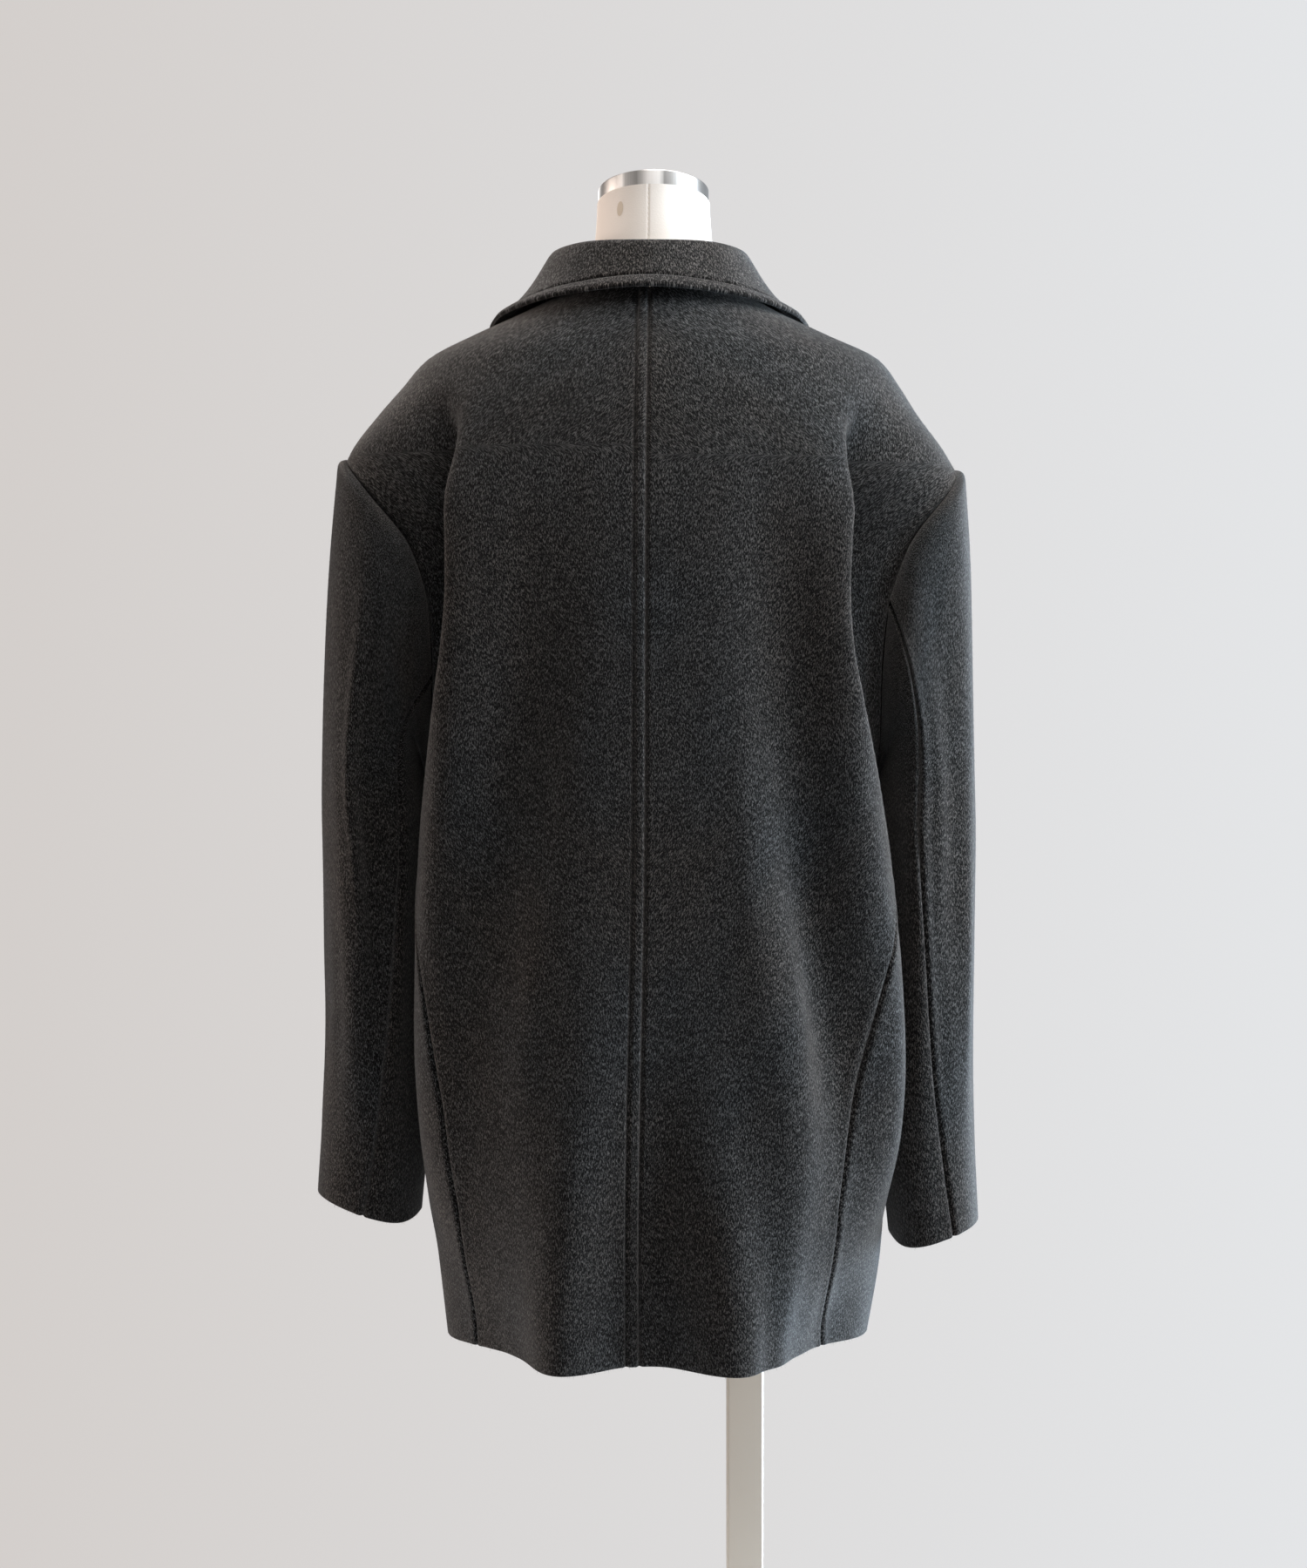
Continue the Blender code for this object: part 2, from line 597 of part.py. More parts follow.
def sleeve(side, turn, along):
    """The sleeve's surface: along is 0 at the armhole, 1 at the first level ring, 2 at the cuff."""
    turn, along = np.broadcast_arrays(np.asarray(turn, float), np.asarray(along, float))
    start = body(*armhole(side, turn, SEAM_GAP))
    ring = sleeve_ring(side, turn, np.full(turn.shape, CAP_HEIGHT))
    (out, out_swing), (up, up_swing) = CAP_START["out"], CAP_START["up"]
    leave = np.stack(
        [
            side * (out + out_swing * np.cos(turn)),
            -CAP_START["back"] * np.sin(turn),
            up + up_swing * np.cos(turn),
        ],
        axis=-1,
    )
    arrive = np.array([0, 0, -CAP_DOWN])
    t = np.clip(along, 0, 1)[..., None]
    cap = (
        (2 * t**3 - 3 * t**2 + 1) * start
        + (t**3 - 2 * t**2 + t) * leave
        + (3 * t**2 - 2 * t**3) * ring
        + (t**3 - t**2) * arrive
    )
    low = np.clip(along - 1, 0, 1)
    cuff = SLEEVES[side]["height"][0]
    lower = sleeve_ring(side, turn, CAP_HEIGHT + low * (cuff - CAP_HEIGHT))
    straight = np.stack([side * np.cos(turn), -np.sin(turn), 0 * turn], axis=-1)
    shape = np.where(along[..., None] < 1, cap, lower)
    near = np.clip(along, 0, None) / HEAD_ROLL_AT
    swell = HEAD_ROLL * near * np.exp(1 - near) * np.clip(np.cos(turn), 0, None)
    return shape + (sleeve_folds(side, turn, along) + swell)[..., None] * straight


def make_sleeve(side, finish):
    """The upper and the under sleeve, parted at the back seam and at the front seam."""
    def surface(u, v):
        return sleeve(side, u, v)

    loop = armhole_loop()
    along = np.concatenate(
        [
            np.linspace(0, 1, CAP_ROWS + 1) ** CAP_CROWDING,
            np.linspace(1, 2, SLEEVE_ROWS + 1)[1:],
        ]
    )
    cuff = SLEEVES[side]["height"][0]
    height = CAP_HEIGHT + np.clip(along - 1, 0, 1) * (cuff - CAP_HEIGHT)
    ring_seam = read(SLEEVES[side], "seam", height)
    back_seam = UNDER_FROM[side] + (ring_seam - UNDER_FROM[side]) * np.clip(along, 0, 1)
    back_seam = np.radians(back_seam)[:, None]
    front_seam = np.radians(UNDER_TO)
    behind, front = loop <= UNDER_FROM[side], loop >= UNDER_TO
    upper = np.concatenate([loop[front] - 360, loop[behind][1:]])
    under = loop[(loop >= UNDER_FROM[side]) & (loop <= UNDER_TO)]
    pieces = {
        "upper": (upper, front_seam - 2 * np.pi, back_seam),
        "under": (under, back_seam, front_seam),
    }
    for part, (marks, first, last) in pieces.items():
        across = (marks - marks[0]) / (marks[-1] - marks[0])
        first = first + SLEEVE_SEAM_TURN
        last = last - SLEEVE_SEAM_TURN
        turn = first + (last - first) * across
        grid = along[:, None] + 0 * turn
        outer = surface(turn, grid)
        normal = side * outward(surface, turn, grid)
        wall(f"{part}_sleeve_{SIDES[side]}", outer, outer - CLOTH * normal, finish)


def make_lapel(side, finish):
    """A lapel lies on its front, between the roll line and its own free edge."""
    lap = LAP_RISE if side > 0 else 0.0

    def surface(u, v):
        return body(u, v, lap)

    up = np.linspace(0, 1, LAPEL_ROWS + 1)[:, None]
    across = np.linspace(0, 1, LAPEL_COLUMNS + 1)
    top = LAPEL_TOP["roll"] + (LAPEL_TOP["edge"] - LAPEL_TOP["roll"]) * across
    height = LAPEL_FROM[side] + up * (top - LAPEL_FROM[side])
    roll = roll_reach(height)
    widening = ease(*LAPEL_OPENS, height - LAPEL_FROM[side])
    width = (read(LAPEL, "reach", height) - roll) * widening
    reach = roll + np.maximum(width, LAPEL_LEAST) * across
    turn = turn_at(side, reach, height)
    base = surface(turn, height)
    normal = outward(surface, turn, height)
    wall(
        f"lapel_{SIDES[side]}",
        base + (LYING_GAP + LAPEL_CLOTH) * normal,
        base + LYING_GAP * normal,
        finish,
    )


def collar(station, across):
    """The collar's middle surface: across is 0 at the neck seam, 1 at the roll, 2 at the edge."""
    station, across = np.broadcast_arrays(
        np.asarray(station, float), np.asarray(across, float)
    )

    def guide(line):
        axes = []
        for axis in "xyz":
            half = COLLAR[f"{line}_{axis}"]
            mirrored = -half if axis == "x" else half
            knots = np.concatenate([-COLLAR["station"][:0:-1], COLLAR["station"]])
            values = np.concatenate([mirrored[:0:-1], half])
            axes.append(smooth_curve(knots, values, station))
        return np.stack(axes, axis=-1)

    shift = (COLLAR_SHIFT * (1 - station**4))[..., None] * np.array([1.0, 0, 0])
    seam, roll, edge = guide("seam"), guide("roll") + shift, guide("edge") + shift
    level = (edge - roll) * (1, 1, 0)
    away = ROLL_REACH * level / np.linalg.norm(level, axis=-1, keepdims=True)
    rise = np.clip(across, 0, 1)[..., None]
    fall = np.clip(across - 1, 0, 1)[..., None]

    def hermite(first, leave, last, arrive, t):
        return (
            (2 * t**3 - 3 * t**2 + 1) * first
            + (t**3 - 2 * t**2 + t) * leave
            + (3 * t**2 - 2 * t**3) * last
            + (t**3 - t**2) * arrive
        )

    stand = hermite(seam, roll - seam, roll, away, rise)
    drop = hermite(roll, away, edge, (edge - roll) * FALL_FLARE, fall)
    return np.where(across[..., None] < 1, stand, drop)


def make_collar(finish):
    station = np.linspace(-1, 1, COLLAR_STATIONS + 1)
    stand = np.linspace(0, 1, STAND_STEPS + 1) ** STAND_CROWDING
    fall = 1 + np.linspace(0, 1, FALL_STEPS + 1)[1:] ** FALL_CROWDING
    across, station = np.meshgrid(np.concatenate([stand, fall]), station)
    middle = collar(station, across)
    normal = outward(collar, station, across)
    half = COLLAR_CLOTH / 2
    wall("collar", middle + half * normal, middle - half * normal, finish)


def turned(name, levels, points_at, finish):
    """A closed solid through level rings, with flat ends."""
    turn = np.linspace(0, 2 * np.pi, FORM_SIDES, endpoint=False)
    rings = np.stack([points_at(turn, level) for level in levels])
    rows = len(levels)
    index = np.arange(rows * FORM_SIDES).reshape(rows, FORM_SIDES)
    around = np.roll(index, -1, axis=1)
    quads = np.stack([index[:-1], around[:-1], around[1:], index[1:]], axis=-1)
    faces = [list(face) for face in quads.reshape(-1, 4)]
    faces += [list(index[0, ::-1]), list(index[-1])]
    return solid(name, rings.reshape(-1, 3), faces, finish)


def form_ring(turn, height):
    wide = read(FORM, "wide", height)
    depth = np.where(np.cos(turn) > 0, read(FORM, "back", height), read(FORM, "front", height))
    radius = (
        np.abs(np.sin(turn) / wide) ** FORM_SQUARE + np.abs(np.cos(turn) / depth) ** FORM_SQUARE
    ) ** (-1 / FORM_SQUARE)
    x, y = radius * np.sin(turn), -radius * np.cos(turn)
    tilted = NECK_TILT * ease(NECK_TILT_FROM, NECK_TOP, height)
    return np.stack([x, y, height - tilted * y], axis=-1)


def make_form(cloth, metal):
    turned("form_torso", FORM_LEVELS, form_ring, cloth)
    profile = (
        (SEAM_GAP, CAP_RADIUS),
        (CAP_THICK - CAP_BEVEL, CAP_RADIUS),
        (CAP_THICK - 0.3 * CAP_BEVEL, CAP_RADIUS - 0.3 * CAP_BEVEL),
        (CAP_THICK, CAP_RADIUS - CAP_BEVEL),
    )

    def cap_ring(turn, level):
        lift, radius = level
        x, y = radius * np.sin(turn), -radius * np.cos(turn)
        return np.stack([x, y, NECK_TOP + lift - NECK_TILT * y], axis=-1)

    turned("form_neck_cap", profile, cap_ring, metal)


def box(name, size, centre, bevel, finish, corner=0.0):
    """A plain block with softened edges and, where asked, rounded upright corners."""
    half = np.array(size) / 2
    corners = [(x, y, z) for z in (-1, 1) for x, y in ((-1, -1), (1, -1), (1, 1), (-1, 1))]
    points = np.array(corners) * half
    faces = ((3, 2, 1, 0), (4, 5, 6, 7), (0, 1, 5, 4), (1, 2, 6, 5), (2, 3, 7, 6), (3, 0, 4, 7))
    made = solid(name, points, faces, finish)
    made.location = centre
    if corner:
        upright = made.data.attributes.new("bevel_weight_edge", "FLOAT", "EDGE")
        for edge in made.data.edges:
            first, last = (made.data.vertices[v].co for v in edge.vertices)
            upright.data[edge.index].value = float(abs(first.z - last.z) > size[2] / 2)
        rounding = made.modifiers.new("corners", "BEVEL")
        rounding.limit_method = "WEIGHT"
        rounding.width = corner
        rounding.segments = 6
    softening = made.modifiers.new("edges", "BEVEL")
    softening.limit_method = "ANGLE"
    softening.width = bevel
    softening.segments = 2
    return made


def make_stand(metal):
    bottom = FORM_LEVELS[0]
    x, y = POLE_PLACE
    flange_top = bottom - SEAM_GAP
    flange_low = flange_top - FLANGE_SIZE[2]
    box("stand_flange", FLANGE_SIZE, (x, y, (flange_top + flange_low) / 2), METAL_BEVEL / 2, metal)
    low, high = BASE_SIZE[2] + SEAM_GAP, flange_low - SEAM_GAP
    box("stand_pole", (*POLE_SIZE, high - low), (x, y, (low + high) / 2), METAL_BEVEL, metal)
    box("stand_base", BASE_SIZE, (0, 0, BASE_SIZE[2] / 2), METAL_BEVEL, metal, BASE_CORNER)


def make_button(number, height, finish):
    """A turned disc on the lapped front, facing along the cloth's normal."""
    def surface(u, v):
        return body(u, v, LAP_RISE)

    place = np.array([np.pi]), np.array([height])
    seat = surface(*place)[0]
    normal = outward(surface, *place)[0]
    sideways = np.array([1.0, 0, 0])
    upright = np.cross(sideways, normal)
    profile = (
        (LYING_GAP, BUTTON_RADIUS - BUTTON_BEVEL),
        (LYING_GAP + BUTTON_BEVEL, BUTTON_RADIUS),
        (LYING_GAP + BUTTON_THICK - BUTTON_BEVEL, BUTTON_RADIUS),
        (LYING_GAP + BUTTON_THICK, BUTTON_RADIUS - BUTTON_BEVEL),
    )
    turn = np.linspace(0, 2 * np.pi, BUTTON_SIDES, endpoint=False)[:, None]
    rings = [
        seat + lift * normal + radius * (np.cos(turn) * sideways + np.sin(turn) * upright)
        for lift, radius in profile
    ]
    index = np.arange(len(profile) * BUTTON_SIDES).reshape(len(profile), BUTTON_SIDES)
    around = np.roll(index, -1, axis=1)
    quads = np.stack([index[:-1], around[:-1], around[1:], index[1:]], axis=-1)
    faces = [list(face) for face in quads.reshape(-1, 4)]
    faces += [list(index[0, ::-1]), list(index[-1])]
    solid(f"button_{number}", np.concatenate(rings), faces, finish)


def main():
    for made in list(bpy.data.objects):
        bpy.data.objects.remove(made)
    wool = material("charcoal_wool", (0.022, 0.021, 0.021), 0.95)
    horn = material("dark_horn", (0.012, 0.011, 0.010), 0.4)
    linen = material("cream_linen", (0.80, 0.77, 0.72), 0.9)
    steel = material("satin_steel", (0.55, 0.53, 0.50), 0.35, 1.0)
    for side in SIDES:
        make_back(side, wool)
        make_side(side, wool)
        make_front(side, wool)
        make_lapel(side, wool)
        make_sleeve(side, wool)
    make_collar(wool)
    for number, height in enumerate(BUTTON_HEIGHTS, 1):
        make_button(number, height, horn)
    make_form(linen, steel)
    make_stand(steel)


main()
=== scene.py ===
import math
from functools import partial

import bpy
import numpy as np
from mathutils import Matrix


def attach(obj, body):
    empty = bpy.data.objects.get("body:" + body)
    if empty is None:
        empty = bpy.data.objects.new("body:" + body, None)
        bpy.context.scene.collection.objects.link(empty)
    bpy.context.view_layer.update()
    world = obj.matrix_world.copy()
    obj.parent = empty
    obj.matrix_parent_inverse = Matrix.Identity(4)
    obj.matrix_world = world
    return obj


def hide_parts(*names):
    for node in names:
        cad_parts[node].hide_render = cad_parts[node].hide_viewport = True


# A charcoal wool coat, seen from behind on a cream dress form.
# Metres, the coat's back faces -Y, +X is the wearer's right side.
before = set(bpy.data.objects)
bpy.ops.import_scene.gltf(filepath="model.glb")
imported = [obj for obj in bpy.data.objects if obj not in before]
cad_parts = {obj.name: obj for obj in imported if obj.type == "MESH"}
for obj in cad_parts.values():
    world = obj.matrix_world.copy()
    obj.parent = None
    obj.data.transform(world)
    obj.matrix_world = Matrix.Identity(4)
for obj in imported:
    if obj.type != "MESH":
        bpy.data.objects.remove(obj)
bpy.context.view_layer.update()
sideNames = {-1: "left", 1: "right"}
print("frame loaded:", len(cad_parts), "nodes")


# camera of the photo: level, behind the coat
cameraView = {"place": (0.0, -2.35, 0.98), "lens": 65.28, "sensor": 36.0}


def addObject(name, data):
    made = bpy.data.objects.new(name, data)
    bpy.context.scene.collection.objects.link(made)
    return made


def makeCamera():
    lens = bpy.data.cameras.new("camera")
    lens.lens = cameraView["lens"]
    lens.sensor_width = cameraView["sensor"]
    camera = addObject("camera", lens)
    camera.location = cameraView["place"]
    camera.rotation_euler = (math.pi / 2, 0, 0)
    bpy.context.scene.camera = camera


makeCamera()


# curves and blends

# A table with named columns, one row for each section or fold. A star marks lengths given in millimetres.
def columns(names, *rows):
    table = {}
    for name, values in zip(names.split(), zip(*rows)):
        table[name.rstrip("*")] = np.array(values, float) / (1000 if "*" in name else 1)
    return table


def rowsOf(table):  # each row of a table as a dictionary
    return [dict(zip(table, row)) for row in zip(*table.values())]


def smoothCurve(knots, values, at):  # cubic through the values, slopes are harmonic means
    step = np.diff(knots)
    slope = np.diff(values) / step
    before, after = slope[:-1], slope[1:]
    same = before * after > 0
    wideAfter, wideBefore = 2 * step[1:] + step[:-1], step[1:] + 2 * step[:-1]
    safeBefore, safeAfter = np.where(same, before, 1.0), np.where(same, after, 1.0)
    mean = (wideAfter + wideBefore) / (wideAfter / safeBefore + wideBefore / safeAfter)
    lean = np.concatenate([slope[:1], np.where(same, mean, 0.0), slope[-1:]])
    at = np.asarray(at, float)
    spot = np.clip(np.searchsorted(knots, at) - 1, 0, len(step) - 1)
    t = (at - knots[spot]) / step[spot]
    return hermite(values[spot], step[spot] * lean[spot], values[spot + 1], step[spot] * lean[spot + 1], t)


def hermite(first, leave, last, arrive, t):  # cubic between two points with given end slopes
    return ((2 * t**3 - 3 * t**2 + 1) * first + (t**3 - 2 * t**2 + t) * leave
            + (3 * t**2 - 2 * t**3) * last + (t**3 - t**2) * arrive)


def readRows(rows, column, at):  # one column of a table, smooth between its rows
    return smoothCurve(next(iter(rows.values())), rows[column], at)


def readEither(which, rows, first, second, at):  # the first column where which is true, else the second
    return np.where(which, readRows(rows, first, at), readRows(rows, second, at))


def ease(low, high, at):  # 0 below low, 1 above high, smooth between
    t = np.clip((at - low) / (high - low), 0, 1)
    return t * t * (3 - 2 * t)


def bend(first, middle, last, t):  # parabola through values at 0, a half and 1
    return first * (2 * t - 1) * (t - 1) + middle * 4 * t * (1 - t) + last * t * (2 * t - 1)


def hump(away, width):  # bell of height 1
    return np.exp(-0.5 * (away / width) ** 2)


def grids(u, v):  # both as float arrays of one shape
    return np.broadcast_arrays(np.asarray(u, float), np.asarray(v, float))


def circle(count, start=0.0):  # even angles once round
    return np.linspace(start, start + 2 * np.pi, count, endpoint=False)


def unit(vectors):  # each vector over its own length
    return vectors / np.linalg.norm(vectors, axis=-1, keepdims=True)


def superRadius(turn, wide, depth, square):  # radius of a superellipse at an angle from the centre back
    return (np.abs(np.sin(turn) / wide) ** square + np.abs(np.cos(turn) / depth) ** square) ** (-1 / square)


# body of the coat: level sections, folds and armholes

body = {
    "hem": 0.5275, "neck": 1.38, "dip": 0.1, "dipFrom": 0.75,
    "lapTurns": (148, 164), "lapRise": 0.0042,
    "sections": columns(
        "height* left* right* back* front* square backSquare",
        (500, 171, 170, 149, 149, 2, 2), (527.5, 174, 174, 150, 150, 2, 2),
        (600, 184, 191, 154, 153, 2.3, 2.4), (642, 192, 200, 156, 154, 2.5, 2.7),
        (700, 198, 206, 158, 155, 2.75, 3.1), (760, 200, 207, 158, 155, 2.9, 3.5),
        (836, 198, 206, 156, 154, 2.9, 4), (910, 195, 199, 153, 151, 2.9, 4.4),
        (980, 192, 192, 151, 148, 2.85, 4.8), (1060, 197, 196, 148, 146, 2.65, 4.6),
        (1120, 212, 211, 145, 143, 2.5, 4), (1170, 238, 237, 142, 139, 2.35, 3.3),
        (1212, 261, 257, 137, 133, 2.2, 2.8), (1246, 251.5, 242.5, 131, 126, 2.1, 2.6),
        (1283, 226.5, 217.5, 123, 116, 2.1, 2.4), (1306, 207.5, 203, 116, 108, 2.1, 2.3),
        (1327, 189, 187, 108, 98, 2.1, 2.2), (1347, 151, 146, 98, 84, 2.1, 2.1),
        (1365, 111, 107, 88, 66, 2.1, 2.1), (1380, 80, 80, 79, 48, 2.1, 2.1),
        (1395, 50, 50, 68, 30, 2.1, 2.1),
    ),
    "folds": columns(
        "high* low* turnHigh turnMid turnLow backWidth frontWidth riseMid* riseLow*",
        # tucks behind the arms and the crests beside them
        (1300, 880, -60, -57.5, -69, 2.2, 8.5, -44, 0), (1290, 880, 59, 55, 69, 2.2, 8.5, -44, 0),
        (1305, 1050, -60, -58.4, -56.4, 2.2, 9, -36, 0), (1295, 1050, 59, 56.6, 54, 2.2, 9, -36, 0),
        (1345, 1200, -80, -65, -56, 4.5, 8, -9, 0), (1325, 1190, 72, 63, 54, 4.5, 8, -9, 0),
        (1270, 760, -54, -51, -60, 4, 3, 6, 0), (1265, 760, 52, 49, 60, 4, 3, 8, 0),
        # long troughs down the back
        (1310, 527.5, -34, -43, -50, 9.5, 6, -21, -7), (1310, 580, 36, 43, 52, 8, 6, -23, -4),
        (1020, 620, 44, 47, 53, 7, 6, -14, 0),
        # flutes at the back hem
        (920, 527.5, -17, -19, -24, 7.5, 8.5, 12, 30), (860, 527.5, 13, 16, 21, 8.5, 8, 10, 31),
        (950, 527.5, 37, 36, 35, 6, 5, 8, 8), (860, 527.5, 3, 4, 3, 8, 8, -3, -6),
        (800, 527.5, -66, -65, -63, 9, 10, -4, -12), (800, 527.5, 66, 65, 64, 9, 10, -5, -16),
        # sides pressed in beside the sleeves
        (1160, 527.5, -90, -90, -90, 13, 20, -18, -4), (1100, 527.5, 90, 90, 90, 13, 16, -34, 0),
        (900, 560, 64, 65, 67, 5, 8, 9, 0), (720, 527.5, 113, 113, 113, 13, 13, 10, 12),
        # tucks and flutes of the front
        (1300, 960, -117, -114, -110, 7, 5.5, -18, 0), (1300, 960, 118, 114, 110, 7, 5.5, -18, 0),
        (940, 527.5, -138, -140, -143, 9, 10, 7, 22), (900, 527.5, 140, 143, 147, 9, 9, 6, 20),
        (860, 527.5, -120, -119, -118, 8, 8, -4, -10), (880, 527.5, 121, 120, 119, 8, 8, -4, -11),
        # finer creases than the solids have
        (1330, 1090, -64, -60.5, -58, 1.9, 6, -10, 0), (1315, 1090, 63, 58.8, 56, 1.9, 5, -11, 0),
        (1150, 900, -24, -27, -33, 3, 3.5, -1.6, 0), (1080, 700, 26, 27, 29, 3, 3, 1.8, 0),
        (960, 620, -30, -33, -33, 2.6, 3, 2, 0), (740, 527.5, -12, -11, -10, 3.2, 3.2, -1.4, -2.6),
        (720, 527.5, 28, 29, 30, 2.8, 3, -1.8, -3), (1020, 780, 48, 50, 56, 2.4, 2.6, 1.8, 0),
        (1060, 800, -127, -130, -134, 3, 3, -2.2, 0), (1040, 760, 128, 131, 133, 3, 3.4, -2.2, 0),
        (980, 640, -152, -153, -151, 3.4, 3, 1.8, 0), (960, 620, 154, 156, 158, 3, 3.4, 1.6, 0),
        (920, 600, -84, -85, -88, 3, 3.6, -2.2, 0), (900, 590, 86, 88, 92, 3.2, 3.2, 2.2, 0),
    ),
    "sideSeams": columns(
        "height* left right front",
        (500, 67.5, 67, 117), (600, 60, 54, 115), (650, 56.5, 51.3, 113.5), (714, 56, 53.2, 112),
        (780, 57.5, 55.8, 110), (836, 60, 58.5, 108), (900, 67, 66, 106), (965, 76.18, 76.18, 103.82),
        (1100, 76.18, 76.18, 103.82),
    ),
}
armholes = {
    "head": {-1: 1.246, 1: 1.2375}, "underarm": 0.985, "spread": 21.5, "headSpread": 0.32, "reach": 0.08,
    "joint": 140, "rimTurn": 60,
}
cloth = {
    "thick": 0.003, "rimSteps": (0.0, 0.00015, 0.0005, 0.001, 0.0016), "lyingGap": 0.0012,
    "seamTuck": 0.00025, "armholeTuck": 0.0012,
    "seamDeep": 0.0024, "seamWide": 0.0011, "ridge": 0.0007, "ridgeAt": 0.0048, "ridgeWide": 0.0022,
    "nearSeam": (0.0022, 0.003, 0.004, 0.0052, 0.007, 0.0095), "puffSpan": (0.3, 0.7),
}


def bodyFolds(turn, height):  # sum of bells across each fold's line, uneven to its two sides
    rise = np.zeros(np.broadcast(turn, height).shape)
    degrees = np.degrees(turn)
    for fold in rowsOf(body["folds"]):
        down = 1 - ease(fold["low"], fold["high"], height)
        line = bend(fold["turnHigh"], fold["turnMid"], fold["turnLow"], down)
        away = (degrees - line) * np.sign(fold["turnMid"])
        width = np.where(away < 0, fold["backWidth"], fold["frontWidth"])
        rise = rise + bend(0, fold["riseMid"], fold["riseLow"], down) * hump(away, width)
    return rise


def bodyPoint(turn, height, lap=0.0):  # level superellipse plus folds, turn is from the centre back
    turn, height = grids(turn, height)
    sections, behind = body["sections"], np.cos(turn) > 0
    half = readEither(turn < 0, sections, "left", "right", height)
    depth = readEither(behind, sections, "back", "front", height)
    square = readEither(behind, sections, "backSquare", "square", height)
    folds = bodyFolds(turn, height)
    lapped = lap * ease(*body["lapTurns"], np.degrees(np.abs(turn)))
    radius = superRadius(turn, half, depth, square) + folds + lapped
    dip = body["dip"] * folds * (1 - ease(body["hem"], body["dipFrom"], height))
    return np.stack([radius * np.sin(turn), -radius * np.cos(turn), height - dip], axis=-1)


def outward(surface, u, v, small=1e-4):  # unit normals from small steps along both parameters
    across = surface(u + small, v) - surface(u - small, v)
    along = surface(u, v + small) - surface(u, v - small)
    return unit(np.cross(across, along))


def armholeSeam(side, loop, inset=0.0):  # an ellipse in turn and height, loop 0 is the sleeve head
    half = (armholes["head"][side] - armholes["underarm"]) / 2 - inset
    middle = (armholes["head"][side] + armholes["underarm"]) / 2
    fuller = 1 + armholes["headSpread"] * np.clip(np.cos(loop), 0, None) ** 2
    spread = np.radians(armholes["spread"]) * np.sin(loop) * fuller * (1 - inset / armholes["reach"])
    return side * (np.pi / 2 - spread), middle + half * np.cos(loop)


def sideSeam(side, column, height):  # angle of a side panel's back or front seam
    source = column if column == "front" else sideNames[side]
    return side * np.radians(readRows(body["sideSeams"], source, height))


def seamLine(away, deep=cloth["seamDeep"]):  # a valley at the sewn edge, then a soft ridge
    ridge = cloth["ridge"] * hump(away - cloth["ridgeAt"], cloth["ridgeWide"])
    return ridge - deep * hump(away, cloth["seamWide"])


def sewnEdge(away, sewn):  # a sewn groove at a distance from the edge, cloth full beside it
    at = sewn["stitchAway"]
    risen, falls = cloth["puffSpan"]
    full = sewn["puff"] * ease(0.0, risen * at, away) * (1 - ease(falls * at, at, away))
    return full - sewn["stitchDeep"] * hump(away - at, sewn["stitchWide"])


# meshes from grids

def claim(piece, node=None):  # the body and the solid that a piece stands for
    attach(piece, "root")
    if node:
        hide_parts(node)


def addMesh(name, points, faces, finish, uv=None):  # points and faces as given, x and z where no map is
    mesh = bpy.data.meshes.new(name)
    mesh.from_pydata(points.tolist(), [], faces)
    corner = np.zeros(len(mesh.loops), np.int32)
    mesh.loops.foreach_get("vertex_index", corner)
    uv = points[:, ::2] if uv is None else uv
    mesh.uv_layers.new(name="cloth").data.foreach_set("uv", uv[corner].astype(np.float32).ravel())
    mesh.shade_smooth()
    mesh.materials.append(finish)
    return addObject(name, mesh)


def gridQuads(index):  # faces between neighbours in a grid of points
    corners = index[:-1, :-1], index[:-1, 1:], index[1:, 1:], index[1:, :-1]
    return np.stack(corners, axis=-1).reshape(-1, 4)


def tubeQuads(index):  # faces between rings of points, closed round the last axis
    around = np.roll(index, -1, axis=-1)
    corners = index[..., :-1, :], around[..., :-1, :], around[..., 1:, :], index[..., 1:, :]
    return np.stack(corners, axis=-1).reshape(-1, 4).tolist()


def runLength(points, axis):  # length of the line up to each point
    step = np.linalg.norm(np.diff(points, axis=axis), axis=-1)
    return np.insert(np.cumsum(step, axis=axis), 0, 0.0, axis=axis)


def edgeReach(points):  # distance along the grid from each point to the nearest border
    down, across = runLength(points, 0), runLength(points, 1)
    return np.minimum(np.minimum(down, down[-1] - down), np.minimum(across, across[:, -1:] - across))


def grainUv(points, along):  # length of cloth across each row from its middle, and along it
    run = runLength(points, 1)
    return np.stack([run - run[:, -1:] / 2, along], axis=-1)


